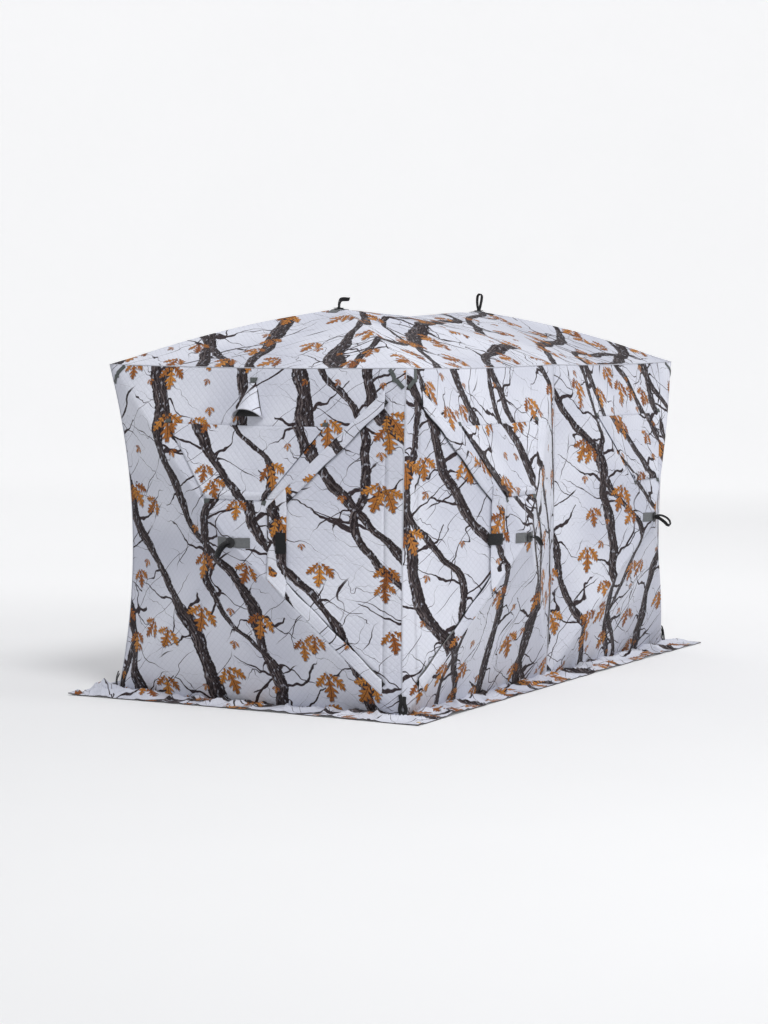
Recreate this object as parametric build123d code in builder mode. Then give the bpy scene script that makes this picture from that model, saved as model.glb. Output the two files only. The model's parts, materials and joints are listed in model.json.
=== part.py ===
from build123d import *
import math
import os

# Pop-up ground blind on a 2 x 1 plan: eight cloth panels (two ends, two halves of each long side, two halves
# of the roof), each pushed out by a hub with four fibreglass poles that run to the panel's corners.
# Millimetres. Origin on the ground at the centre of the floor, +X along the length, +Z up.

# Driving dimensions
HALF_LENGTH = 1800.0
HALF_WIDTH = 900.0
EAVE_HEIGHT = 1840.0
EAVE_SPREAD = 30.0  # the walls lean out by this much between ground and eave
WALL_HUB_HEIGHT = 906.0
END_BULGE = 264.0  # hub of an end wall, out from the floor line
LONG_BULGE = 307.0  # hub of a long wall, out from the floor line
ROOF_HUB_HEIGHT = 2156.0
ROOF_RIDGE_HEIGHT = 2110.0  # the cloth between the two roof hubs
SEAM_BOW = 60.0  # the upright corner seams draw in at mid height
MIDDLE_SEAM_BOW = 20.0  # the seam between two halves of a long wall stands out
EAVE_SAG = 35.0
FLOOR_BOW = 15.0
CLOTH = 3.0  # three quilted layers
PLATE_GAP = 0.0012  # share by which each gore is drawn in from its seams
SKIRT_GAP = 0.0003  # the same for the strips of the skirt
NEAR_THE_RIM = 0.6  # beyond this share of the half size, a point is on an outer wall
HUB_OPENING = 0.13  # the gores stop at this share of the way from hub to edge

SKIRT_WIDTH = 200.0
SKIRT_THICKNESS = 3.0
SKIRT_TUCK = 34.0  # the skirt runs in under the foot of the walls

HUB_RADIUS = 46.0
HUB_THICKNESS = 14.0
HUB_DEPTH = 21.0  # from the cloth at the hub to the outer face of the hub plate
SLOT_WIDTH = 8.4
SLOT_START = 20.0
PIN_CIRCLE = 36.0
PIN_RADIUS = 3.0
PIN_HALF = 9.0
STUD_RADIUS = 8.0
WASHER_RADIUS = 30.0
WASHER_THICKNESS = 4.0
WASHER_LIFT = 2.0
LOOP_LENGTH = 95.0
LOOP_HEIGHT = 30.0
WEBBING = 2.5
WEBBING_WIDTH = 25.0
LOOP_LIFT = 9.0
LOOP_DROOP = 40.0  # degrees that the loops on the walls hang down

POLE_RADIUS = 5.5
EYE_RADIUS = 7.0
EYE_HALF = 4.0
EYE_BORE = 3.05
TONGUE_LENGTH = 17.0
TONGUE_HEIGHT = 10.0
FERRULE_START = 15.0
FERRULE_RADIUS = 7.5
FERRULE_LENGTH = 34.0
TIP_RADIUS = 6.5
TIP_LENGTH = 14.0
TIP_BACK = 60.0  # a pole stops this far short of its corner, measured in the panel
TIP_DEPTH = 22.0

WINDOW_TOP = 0.655  # shares of the way from hub to eave
WINDOW_BOTTOM = 0.245
WINDOW_SIDE = 0.755  # share of the half width
WINDOW_HOLE_TOP = 0.675
WINDOW_HOLE_BOTTOM = 0.225
WINDOW_HOLE_SIDE = 0.79
PANE = 1.0
PANE_BACK = 5.0
FLAP = 3.0

DOOR_TIP = 0.22
DOOR_HINGE = 0.89
DOOR_TIP_PLATE = 0.20
SEAM_STRIP = 0.915
SEAM_STRIP_MIDDLE = 0.985
ZIP_INSET = 20.0
ZIP_WIDTH = 46.0
ZIP_JOINT = 0.5  # between the end of a side run and the tip run
DOOR_GAP = 4.0
DOOR_CLOTH = 4.0

HOOD_MOUTH = 0.72
HOOD_TOP = 0.93
HOOD_RADIUS = 95.0
HOOD_SINK = 40.0
HOOD_TOP_RADIUS = 26.0
HOOD_TOP_SINK = 14.0
HOOD_LIFT = 6.0

STRAP_WIDTH = 40.0
STRAP_HEIGHT = 120.0
STRAP_STANDOFF = 4.0
STRAP_LIFT = 2.0  # above the ground
EAVE_STRAP_WIDTH = 22.0
EAVE_STRAP_REACH = 80.0
EAVE_STRAP_STANDOFF = 22.0

END_EYELET_INSET = 100.0  # from the outer edge of the skirt at the ends
SIDE_EYELET_INSET = 50.0  # from the outer edge of the skirt at the long sides
EYELET_HOLE = 6.0
EYELET_BARREL = 7.0
EYELET_FLANGE = 12.0
EYELET_FLANGE_THICKNESS = 1.0
EYELET_LIFT = 0.3  # the barrel stays clear of the ground
EYELET_CLEARANCE = 0.05
EYELET_FLANGE_GAP = 0.1

GROUND = SKIRT_THICKNESS
MID_HEIGHT = EAVE_HEIGHT / 2


def sign(value):
    return (value > 0) - (value < 0)


def floor_corner(sx, sy):
    return Vector(sx * HALF_LENGTH, sy * HALF_WIDTH, GROUND)


def eave_corner(sx, sy):
    return Vector(sx * (HALF_LENGTH + EAVE_SPREAD), sy * (HALF_WIDTH + EAVE_SPREAD), EAVE_HEIGHT)


def corner_seam_middle(sx, sy):
    out = EAVE_SPREAD / 2 - SEAM_BOW
    return Vector(sx * (HALF_LENGTH + out), sy * (HALF_WIDTH + out), MID_HEIGHT)


def middle_seam_middle(sy):
    return Vector(0, sy * (HALF_WIDTH + EAVE_SPREAD / 2 + MIDDLE_SEAM_BOW), MID_HEIGHT)


class Panel:
    """Four gores round a hub. An edge that passes through middle k joins corner k to corner k + 1."""

    def __init__(self, name, apex, normal, corners, middles):
        self.name = name
        self.apex = apex
        self.normal = normal
        self.corner_names = list(corners)
        self.corners = list(corners.values())
        self.middles = middles


def end_panel(name, sx):
    """An end wall, its corners in order round the hub. Gore 0 is the top one and gore 3 the front one."""
    eave_middle = HALF_LENGTH + EAVE_SPREAD - EAVE_SAG
    return Panel(
        name,
        Vector(sx * (HALF_LENGTH + END_BULGE), 0, WALL_HUB_HEIGHT),
        Vector(sx, 0, 0),
        {
            "top_front": eave_corner(sx, -1),
            "top_back": eave_corner(sx, 1),
            "bottom_back": floor_corner(sx, 1),
            "bottom_front": floor_corner(sx, -1),
        },
        [
            Vector(sx * eave_middle, 0, EAVE_HEIGHT - EAVE_SAG),
            corner_seam_middle(sx, 1),
            Vector(sx * (HALF_LENGTH - FLOOR_BOW), 0, GROUND),
            corner_seam_middle(sx, -1),
        ],
    )


def long_panel(name, sx, sy):
    """Half of a long wall. Gore 0 is the top one and gore 3 the one beside the corner of the blind."""
    eave_middle = HALF_WIDTH + EAVE_SPREAD - EAVE_SAG
    return Panel(
        name,
        Vector(sx * HALF_LENGTH / 2, sy * (HALF_WIDTH + LONG_BULGE), WALL_HUB_HEIGHT),
        Vector(0, sy, 0),
        {
            "top_outer": eave_corner(sx, sy),
            "top_middle": Vector(0, sy * (HALF_WIDTH + EAVE_SPREAD), EAVE_HEIGHT),
            "bottom_middle": Vector(0, sy * HALF_WIDTH, GROUND),
            "bottom_outer": floor_corner(sx, sy),
        },
        [
            Vector(sx * (HALF_LENGTH + EAVE_SPREAD) / 2, sy * eave_middle, EAVE_HEIGHT - EAVE_SAG),
            middle_seam_middle(sy),
            Vector(sx * HALF_LENGTH / 2, sy * (HALF_WIDTH - FLOOR_BOW), GROUND),
            corner_seam_middle(sx, sy),
        ],
    )


def roof_panel(name, sx):
    end_middle = HALF_LENGTH + EAVE_SPREAD - EAVE_SAG
    side_middle = HALF_WIDTH + EAVE_SPREAD - EAVE_SAG
    low = EAVE_HEIGHT - EAVE_SAG
    return Panel(
        name,
        Vector(sx * HALF_LENGTH / 2, 0, ROOF_HUB_HEIGHT),
        Vector(0, 0, 1),
        {
            "front_outer": eave_corner(sx, -1),
            "front_middle": Vector(0, -(HALF_WIDTH + EAVE_SPREAD), EAVE_HEIGHT),
            "back_middle": Vector(0, HALF_WIDTH + EAVE_SPREAD, EAVE_HEIGHT),
            "back_outer": eave_corner(sx, 1),
        },
        [
            Vector(sx * (HALF_LENGTH + EAVE_SPREAD) / 2, -side_middle, low),
            Vector(0, 0, ROOF_RIDGE_HEIGHT),
            Vector(sx * (HALF_LENGTH + EAVE_SPREAD) / 2, side_middle, low),
            Vector(sx * end_middle, 0, low),
        ],
    )


PANELS = {
    "left_end": end_panel("left_end", -1),
    "right_end": end_panel("right_end", 1),
    "front_left": long_panel("front_left", -1, -1),
    "front_right": long_panel("front_right", 1, -1),
    "back_left": long_panel("back_left", -1, 1),
    "back_right": long_panel("back_right", 1, 1),
    "roof_left": roof_panel("roof_left", -1),
    "roof_right": roof_panel("roof_right", 1),
}
WINDOWS = ["left_end", "right_end", "front_left", "front_right"]  # each in the top gore of its panel
DOORS = {"end_door": "left_end", "front_door": "front_left"}  # each in gore 3 of its panel


# Cloth


def to_inner_skin(panel, point):
    """The point of the inner skin behind a point on a panel's edge, the same for both panels there."""
    dx = sign(point.X) if abs(point.X) > NEAR_THE_RIM * HALF_LENGTH else 0
    dy = sign(point.Y) if abs(point.Y) > NEAR_THE_RIM * HALF_WIDTH else 0
    dz = 1 if point.Z > MID_HEIGHT + 1 else 0
    return point - Vector(dx, dy, dz) * CLOTH


def on_gore(panel, gore, share, across, inside=False):
    """A point of a gore: share runs from 0 at the hub to 1 at the edge, across from -1 to 1 along it."""
    first = panel.corners[gore]
    last = panel.corners[(gore + 1) % 4]
    middle = panel.middles[gore]
    hub = panel.apex
    if inside:
        first = to_inner_skin(panel, first)
        last = to_inner_skin(panel, last)
        middle = to_inner_skin(panel, middle)
        hub = hub - panel.normal * CLOTH
    corner = last if across > 0 else first
    edge = middle + (corner - middle) * abs(across)
    return hub + (edge - hub) * share


def cloth_plate(panel, gore, cell):
    """One flat piece of a gore between four (share, across) points, drawn in a little on all sides."""
    outer = [on_gore(panel, gore, s, w) for s, w in cell]
    inner = [on_gore(panel, gore, s, w, inside=True) for s, w in cell]
    centre = sum(outer + inner, Vector()) / (2 * len(cell))
    outer = [centre + (p - centre) * (1 - PLATE_GAP) for p in outer]
    inner = [centre + (p - centre) * (1 - PLATE_GAP) for p in inner]
    sections = [Face(Wire.make_polygon(outer)), Face(Wire.make_polygon(inner))]
    loft(sections, ruled=True)


def cell(low, high, left, right):
    return [(low, left), (low, right), (high, right), (high, left)]


PLAIN_GORE = [cell(HUB_OPENING, 1, -1, 0), cell(HUB_OPENING, 1, 0, 1)]

WINDOW_GORE = [
    cell(HUB_OPENING, 1, -1, -WINDOW_HOLE_SIDE),
    cell(HUB_OPENING, 1, WINDOW_HOLE_SIDE, 1),
    cell(HUB_OPENING, WINDOW_HOLE_BOTTOM, -WINDOW_HOLE_SIDE, 0),
    cell(HUB_OPENING, WINDOW_HOLE_BOTTOM, 0, WINDOW_HOLE_SIDE),
    cell(WINDOW_HOLE_TOP, 1, -WINDOW_HOLE_SIDE, 0),
    cell(WINDOW_HOLE_TOP, 1, 0, WINDOW_HOLE_SIDE),
]

# The doorway takes nearly the whole gore: what stays is its tip at the hub and a strip along the corner seam.
DOOR_GORE = [
    cell(HUB_OPENING, DOOR_TIP_PLATE, -1, 0),
    cell(HUB_OPENING, DOOR_TIP_PLATE, 0, 1),
    [(SEAM_STRIP, -1), (SEAM_STRIP_MIDDLE, 0), (1, 0), (1, -1)],
    [(SEAM_STRIP_MIDDLE, 0), (SEAM_STRIP, 1), (1, 1), (1, 0)],
]


def add_panel(panel):
    for gore in range(4):
        cells = PLAIN_GORE
        if gore == 0 and panel.name in WINDOWS:
            cells = WINDOW_GORE
        if gore == 3 and panel.name in DOORS.values():
            cells = DOOR_GORE
        for outline in cells:
            cloth_plate(panel, gore, outline)


def build_cloth(name, panel_names):
    with BuildPart() as cloth:
        for panel_name in panel_names:
            add_panel(PANELS[panel_name])
    cloth.part.label = name
    export_step(cloth.part, f"parts/{name}.step")


def gore_plane(panel, gore, edge_point):
    """The plane through a panel's hub and a point of a gore's edge, +X along the edge and +Z outwards."""
    along = (panel.corners[(gore + 1) % 4] - panel.corners[gore]).normalized()
    out = along.cross(edge_point - panel.apex).normalized()
    if out.dot(panel.normal) < 0:
        out = out * -1
    return Plane(origin=panel.apex, x_dir=along, z_dir=out)


def window_edge(panel):
    """A point half way between the chord of the top gore's edge and the middle of that edge's sag."""
    chord_middle = (panel.corners[0] + panel.corners[1]) / 2
    return (chord_middle + panel.middles[0]) / 2


def window_plane(panel):
    return gore_plane(panel, 0, window_edge(panel))


def flat_point(plane, point):
    local = plane.to_local_coords(point)
    return (local.X, local.Y)


def window_outline(panel, plane):
    """The four corners of a window in its own plane."""
    half = (panel.corners[1] - panel.corners[0]) / 2
    points = []
    for share, across in [
        (WINDOW_BOTTOM, -WINDOW_SIDE),
        (WINDOW_BOTTOM, WINDOW_SIDE),
        (WINDOW_TOP, WINDOW_SIDE),
        (WINDOW_TOP, -WINDOW_SIDE),
    ]:
        point = panel.apex + (window_edge(panel) + half * across - panel.apex) * share
        points.append(flat_point(plane, point))
    return points


def build_flat(name, plane, lift, thickness, outlines):
    """Flat cloth or film: each outline is a polygon in the plane, raised by lift."""
    with BuildPart() as sheet:
        for outline in outlines:
            with BuildSketch(plane.offset(lift)):
                with BuildLine():
                    Polyline(*outline, close=True)
                make_face()
            extrude(amount=thickness)
    sheet.part.label = name
    export_step(sheet.part, f"parts/{name}.step")


def build_window(panel):
    plane = window_plane(panel)
    outline = window_outline(panel, plane)
    build_flat(f"{panel.name}_window_pane", plane, -PANE_BACK, PANE, [outline])
    build_flat(f"{panel.name}_window_flap", plane, -FLAP, FLAP, [outline])


def door_outlines(panel):
    """The three runs of a door's zip and the door itself, in the plane of the gore."""
    plane = gore_plane(panel, 3, panel.corners[0])
    first = plane.to_local_coords(panel.corners[3])
    last = plane.to_local_coords(panel.corners[0])
    depth = first.Y

    def ridge(corner, y, inset):
        """The place across, at a height y, of a line beside the ridge that runs to a corner."""
        slant = math.hypot(corner.X, corner.Y) / abs(corner.Y)
        return corner.X * y / depth - sign(corner.X) * inset * slant

    def run(corner, y0, y1):
        near = ZIP_INSET
        far = ZIP_INSET + ZIP_WIDTH
        return [
            (ridge(corner, y0, near), y0),
            (ridge(corner, y1, near), y1),
            (ridge(corner, y1, far), y1),
            (ridge(corner, y0, far), y0),
        ]

    tip = DOOR_TIP * depth
    tip_inner = tip + sign(depth) * ZIP_WIDTH
    hinge = DOOR_HINGE * depth
    run_start = tip_inner + sign(depth) * ZIP_JOINT
    tip_run = [
        (ridge(first, tip, ZIP_INSET), tip),
        (ridge(last, tip, ZIP_INSET), tip),
        (ridge(last, tip_inner, ZIP_INSET), tip_inner),
        (ridge(first, tip_inner, ZIP_INSET), tip_inner),
    ]
    zips = [run(first, run_start, hinge), run(last, run_start, hinge), tip_run]
    inset = ZIP_INSET + ZIP_WIDTH + DOOR_GAP
    door_start = tip_inner + sign(depth) * DOOR_GAP
    door = [
        (ridge(first, door_start, inset), door_start),
        (ridge(first, hinge, inset), hinge),
        (ridge(last, hinge, inset), hinge),
        (ridge(last, door_start, inset), door_start),
    ]
    return plane, zips, door


def build_door(name, panel):
    plane, zips, door = door_outlines(panel)
    build_flat(f"{name}_zip", plane, -DOOR_CLOTH, DOOR_CLOTH, zips)
    build_flat(f"{name}_flap", plane, -DOOR_CLOTH, DOOR_CLOTH, [door])


def hood_cone(mouth, top, up, out, inset):
    """A tapered round rod from the mouth to the top of a hood, cut off flat along the wall."""
    with BuildPart() as cone:
        with BuildSketch(Plane(origin=mouth - out * HOOD_SINK - up * inset, z_dir=up)):
            Circle(HOOD_RADIUS - inset)
        with BuildSketch(Plane(origin=top - out * HOOD_TOP_SINK - up * inset, z_dir=up)):
            Circle(HOOD_TOP_RADIUS - inset)
        loft()
        split(bisect_by=Plane(origin=mouth + out * HOOD_LIFT, z_dir=out), keep=Keep.TOP)
    return cone.part


def build_vent_hoods():
    """A stiffened half funnel over the air vent, high on each end wall, open at its lower end."""
    funnels = []
    for panel in [PANELS["left_end"], PANELS["right_end"]]:
        mouth = panel.apex + (panel.middles[0] - panel.apex) * HOOD_MOUTH
        top = panel.apex + (panel.middles[0] - panel.apex) * HOOD_TOP
        up = (top - mouth).normalized()
        out = Vector(0, 1, 0).cross(up) * sign(panel.normal.X)
        funnels.append(hood_cone(mouth, top, up, out, 0) - hood_cone(mouth, top, up, out, CLOTH))
    with BuildPart() as hoods:
        for funnel in funnels:
            add(funnel)
    hoods.part.label = "vent_hoods"
    export_step(hoods.part, "parts/vent_hoods.step")


# Hubs and poles


def pole_frame(panel, index):
    """The pin, the tip, the direction seen along the panel's normal and the hinge line of one pole."""
    corner = panel.corners[index]
    flat = corner - panel.apex
    flat = flat - panel.normal * flat.dot(panel.normal)
    direction = flat.normalized()
    pin_depth = HUB_DEPTH + HUB_THICKNESS / 2
    pin = panel.apex - panel.normal * pin_depth + direction * PIN_CIRCLE
    tip = corner - direction * TIP_BACK - panel.normal * TIP_DEPTH
    return pin, tip, direction, direction.cross(panel.normal)


def loop_direction(panel):
    """The pull loops stand straight up on the roof and hang down a little on the walls."""
    if panel.normal.Z > 0.5:
        return panel.normal
    droop = math.radians(LOOP_DROOP)
    return panel.normal * math.cos(droop) - Vector(0, 0, 1) * math.sin(droop)


def build_hub(panel):
    name = f"{panel.name}_hub"
    sideways = Vector(0, 0, 1).cross(panel.normal) if panel.normal.Z < 0.5 else Vector(0, 1, 0)
    face = Plane(origin=panel.apex, x_dir=sideways, z_dir=panel.normal)
    frames = [pole_frame(panel, index) for index in range(4)]
    loop_base = panel.apex + panel.normal * LOOP_LIFT
    direction = loop_direction(panel)
    loop_plane = Plane(origin=loop_base, x_dir=direction, z_dir=sideways)
    with BuildPart() as hub:
        with BuildSketch(face.offset(-HUB_DEPTH - HUB_THICKNESS)):
            Circle(HUB_RADIUS)
            for pin, tip, toward, axis in frames:
                local = face.to_local_coords(panel.apex + toward)
                angle = math.degrees(math.atan2(local.Y, local.X))
                with Locations(Rotation(0, 0, angle) * Pos(SLOT_START + HUB_RADIUS / 2, 0)):
                    Rectangle(HUB_RADIUS, SLOT_WIDTH, mode=Mode.SUBTRACT)
        extrude(amount=HUB_THICKNESS)
        for pin, tip, toward, axis in frames:
            with BuildSketch(Plane(origin=pin, z_dir=axis)):
                Circle(PIN_RADIUS)
            extrude(amount=PIN_HALF, both=True)
        with BuildSketch(face.offset(-HUB_DEPTH)):
            Circle(STUD_RADIUS)
        extrude(amount=HUB_DEPTH + WASHER_LIFT)
        with BuildSketch(face.offset(WASHER_LIFT)):
            Circle(WASHER_RADIUS)
        extrude(amount=WASHER_THICKNESS)
        with BuildSketch(loop_plane):
            with Locations((LOOP_LENGTH / 2 + WEBBING, 0)):
                SlotOverall(LOOP_LENGTH, LOOP_HEIGHT)
                SlotOverall(LOOP_LENGTH - 2 * WEBBING, LOOP_HEIGHT - 2 * WEBBING, mode=Mode.SUBTRACT)
        extrude(amount=WEBBING_WIDTH / 2, both=True)
    hub.part.label = name
    export_step(hub.part, f"parts/{name}.step")


def build_pole(panel, index):
    """A fibreglass rod with a ferrule and a flat eye on the hub's pin, and a cap at its free end."""
    name = f"{panel.name}_pole_{panel.corner_names[index]}"
    pin, tip, toward, axis = pole_frame(panel, index)
    length = (tip - pin).length
    along = (tip - pin).normalized()
    side = Plane(origin=pin, x_dir=along, z_dir=axis)
    with BuildPart() as pole:
        with BuildSketch(side):
            Circle(EYE_RADIUS)
            with Locations((TONGUE_LENGTH / 2, 0)):
                Rectangle(TONGUE_LENGTH, TONGUE_HEIGHT)
            Circle(EYE_BORE, mode=Mode.SUBTRACT)
        extrude(amount=EYE_HALF, both=True)
        with BuildSketch(Plane(origin=pin + along * FERRULE_START, z_dir=along)):
            Circle(FERRULE_RADIUS)
        extrude(amount=FERRULE_LENGTH)
        with BuildSketch(Plane(origin=pin + along * TONGUE_LENGTH, z_dir=along)):
            Circle(POLE_RADIUS)
        extrude(amount=length - TONGUE_LENGTH - TIP_LENGTH / 2)
        with BuildSketch(Plane(origin=tip - along * TIP_LENGTH, z_dir=along)):
            Circle(TIP_RADIUS)
        extrude(amount=TIP_LENGTH)
    pole.part.label = name
    export_step(pole.part, f"parts/{name}.step")


# Skirt, webbing and eyelets


def skirt_strip(sx, sy):
    """One side of the skirt, with mitred ends: sx picks an end of the blind, sy a long side."""
    outer_x = HALF_LENGTH + SKIRT_WIDTH
    outer_y = HALF_WIDTH + SKIRT_WIDTH
    inner_x = HALF_LENGTH - SKIRT_TUCK
    inner_y = HALF_WIDTH - SKIRT_TUCK
    if sx:
        points = [(outer_x, -outer_y), (outer_x, outer_y), (inner_x, inner_y), (inner_x, -inner_y)]
    else:
        points = [(-outer_x, outer_y), (outer_x, outer_y), (inner_x, inner_y), (-inner_x, inner_y)]
    facing = sx + sy
    centre = sum((Vector(x, y) for x, y in points), Vector()) / len(points)
    drawn_in = [centre + (Vector(x, y) - centre) * (1 - SKIRT_GAP) for x, y in points]
    return [(p.X * facing, p.Y * facing) for p in drawn_in]


def eyelet_places():
    x = HALF_LENGTH + SKIRT_WIDTH - END_EYELET_INSET
    y = HALF_WIDTH + SKIRT_WIDTH - SIDE_EYELET_INSET
    corners = [(sx * x, sy * y) for sx in (-1, 1) for sy in (-1, 1)]
    return corners + [(0, -y), (0, y)]


def build_skirt():
    with BuildPart() as skirt:
        with BuildSketch():
            for sx, sy in [(1, 0), (-1, 0), (0, 1), (0, -1)]:
                with BuildLine():
                    Polyline(*skirt_strip(sx, sy), close=True)
                make_face()
            with Locations(*eyelet_places()):
                Circle(EYELET_BARREL + EYELET_CLEARANCE, mode=Mode.SUBTRACT)
        extrude(amount=SKIRT_THICKNESS)
    skirt.part.label = "skirt"
    export_step(skirt.part, "parts/skirt.step")


def build_eyelets():
    with BuildPart() as eyelets:
        with BuildSketch(Plane.XY.offset(EYELET_LIFT)):
            with Locations(*eyelet_places()):
                Circle(EYELET_BARREL)
                Circle(EYELET_HOLE, mode=Mode.SUBTRACT)
        extrude(amount=SKIRT_THICKNESS)
        with BuildSketch(Plane.XY.offset(SKIRT_THICKNESS + EYELET_FLANGE_GAP)):
            with Locations(*eyelet_places()):
                Circle(EYELET_FLANGE)
                Circle(EYELET_HOLE, mode=Mode.SUBTRACT)
        extrude(amount=EYELET_FLANGE_THICKNESS)
    eyelets.part.label = "skirt_eyelets"
    export_step(eyelets.part, "parts/skirt_eyelets.step")


def build_webbing():
    """At each corner of the blind, an upright ground strap and a V of webbing over the corner at the eave."""
    with BuildPart() as webbing:
        for sx in (-1, 1):
            for sy in (-1, 1):
                out = Vector(sx, sy, 0).normalized()
                foot = floor_corner(sx, sy) + out * STRAP_STANDOFF
                with BuildSketch(Plane(origin=foot + Vector(0, 0, STRAP_HEIGHT / 2 + STRAP_LIFT), z_dir=out)):
                    Rectangle(STRAP_WIDTH, STRAP_HEIGHT)
                extrude(amount=WEBBING)
                top = eave_corner(sx, sy)
                to_end = Vector(sx, 0, 0)
                to_side = Vector(0, sy, 0)
                for away, inward in [(to_end, to_side * -1), (to_side, to_end * -1)]:
                    low = top + away * EAVE_STRAP_STANDOFF - Vector(0, 0, EAVE_STRAP_REACH)
                    high = top + away * EAVE_STRAP_STANDOFF + inward * EAVE_STRAP_REACH
                    along = (high - low).normalized()
                    middle = (low + high) / 2 + inward * EAVE_STRAP_WIDTH / 2
                    with BuildSketch(Plane(origin=middle, x_dir=along, z_dir=away)):
                        Rectangle((high - low).length, EAVE_STRAP_WIDTH)
                    extrude(amount=WEBBING)
    webbing.part.label = "corner_webbing"
    export_step(webbing.part, "parts/corner_webbing.step")


os.makedirs("parts", exist_ok=True)
build_cloth("end_walls", ["left_end", "right_end"])
build_cloth("front_wall", ["front_left", "front_right"])
build_cloth("back_wall", ["back_left", "back_right"])
build_cloth("roof", ["roof_left", "roof_right"])
for window in WINDOWS:
    build_window(PANELS[window])
for door, door_panel in DOORS.items():
    build_door(door, PANELS[door_panel])
build_vent_hoods()
for blind_panel in PANELS.values():
    build_hub(blind_panel)
    for pole_index in range(4):
        build_pole(blind_panel, pole_index)
build_skirt()
build_eyelets()
build_webbing()
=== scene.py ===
import json
import math

import bmesh
import bpy
import numpy as np
from mathutils import Matrix, Vector

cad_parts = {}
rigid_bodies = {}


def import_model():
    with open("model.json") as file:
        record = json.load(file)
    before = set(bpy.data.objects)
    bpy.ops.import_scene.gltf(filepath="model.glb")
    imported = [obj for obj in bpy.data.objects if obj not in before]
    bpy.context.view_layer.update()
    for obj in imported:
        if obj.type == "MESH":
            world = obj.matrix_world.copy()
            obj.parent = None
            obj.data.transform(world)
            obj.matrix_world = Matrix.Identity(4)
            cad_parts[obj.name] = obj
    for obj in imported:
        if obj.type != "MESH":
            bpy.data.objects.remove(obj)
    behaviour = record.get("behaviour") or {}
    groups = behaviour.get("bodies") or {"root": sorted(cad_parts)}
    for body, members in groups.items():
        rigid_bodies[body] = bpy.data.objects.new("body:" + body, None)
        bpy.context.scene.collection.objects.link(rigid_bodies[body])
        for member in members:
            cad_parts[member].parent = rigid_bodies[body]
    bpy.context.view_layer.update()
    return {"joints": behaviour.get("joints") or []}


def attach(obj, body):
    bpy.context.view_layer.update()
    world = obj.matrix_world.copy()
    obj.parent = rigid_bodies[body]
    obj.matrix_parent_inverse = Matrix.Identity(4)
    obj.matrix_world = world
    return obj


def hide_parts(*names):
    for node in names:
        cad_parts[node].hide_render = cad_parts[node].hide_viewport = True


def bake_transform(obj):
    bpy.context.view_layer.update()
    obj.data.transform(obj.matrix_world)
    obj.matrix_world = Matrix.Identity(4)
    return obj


# Pop-up ground blind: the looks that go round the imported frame. Metres, in the frame's own axes.

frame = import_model()
JOINTS = {joint["name"]: joint for joint in frame["joints"]}

# Places read from the frame
EAVE_X = abs(JOINTS["left_end_window_tilt"]["pos_m"][0])
EAVE_Y = abs(JOINTS["front_left_window_tilt"]["pos_m"][1])
EAVE_Z = JOINTS["left_end_window_tilt"]["pos_m"][2]
FLOOR_X = 2 * abs(JOINTS["end_door_tilt"]["pos_m"][0]) - EAVE_X
FLOOR_Y = 2 * abs(JOINTS["end_door_tilt"]["pos_m"][1]) - EAVE_Y
FLOOR_Z = 2 * JOINTS["end_door_tilt"]["pos_m"][2] - EAVE_Z
PIN_DEPTH = 0.028  # the pole pins lie this far inside the cloth at the hub

# How the cloth hangs between the poles: how far each edge bows, and the power of its curve
SEAM_BOWS = {(-1, -1): 0.022, (-1, 1): 0.075, (1, -1): 0.035, (1, 1): 0.055}
MIDDLE_SEAM_BOW = 0.025
EAVE_SAG = 0.030  # inwards at the middle of a side
EAVE_DROP = 0.010
EAVE_CURVE = 1.6
FLOOR_BOW = 0.015
SEAM_CURVE = 2.0
RIDGE_TOP = 2.115  # height of the cloth between the two roof hubs
RIDGE_CURVE = 1.45
RIDGE_ROUNDING = 0.030  # how widely the cloth is rounded over a pole
WIDEST_ROUNDING = 0.13  # as a part of a panel's side, near the hub
PANEL_SIDE = 1.85
WALL_POLE_BOW = 0.022
ROOF_POLE_BOW = 0.038
CLOTH = 0.003

RINGS = 40
COLUMNS = 44  # along each side of a ring
EDGE_SAMPLES = 192  # along each side
HUB_SHARE = 0.02  # the innermost ring, from 0 at the hub to 1 at the edge

# Windows and doorways, as shares of the way from the hub to the edge and parts of a gore's half width
WINDOW_SHARES = (0.262, 0.652)
WINDOW_HALF = 0.765
WINDOW_PANELS = ("left_end", "right_end", "front_left", "front_right")
DOOR_PANELS = {"left_end": "end_door", "front_left": "front_door"}
DOOR_TIP = 0.22
DOOR_HINGE = 0.89
DOOR_GORE_HALF = 0.93  # half the outer edge of the gore that a doorway is in
DOOR_CUT = 0.95  # the doorway's width as a part of its gore's
ZIP_INSET = 0.020  # from the ridge to the doorway's edge
ZIP_BAND = 0.046


# Small helpers


def unit(v):
    v = np.asarray(v, float)
    return v / np.linalg.norm(v)


def smooth(x):
    x = np.clip(x, 0, 1)
    return x * x * (3 - 2 * x)


def waves(points, seed, scale, count=7):
    """A smooth, repeatable noise from -1 to 1 at an array of points, from a few plane waves."""
    random = np.random.default_rng(seed)
    total = np.zeros(points.shape[:-1])
    for _ in range(count):
        direction = unit(random.normal(size=3)) * scale * random.uniform(0.6, 1.6)
        total += np.sin(points @ direction * 2 * math.pi + random.uniform(0, 2 * math.pi))
    return total / count * 1.6


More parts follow.
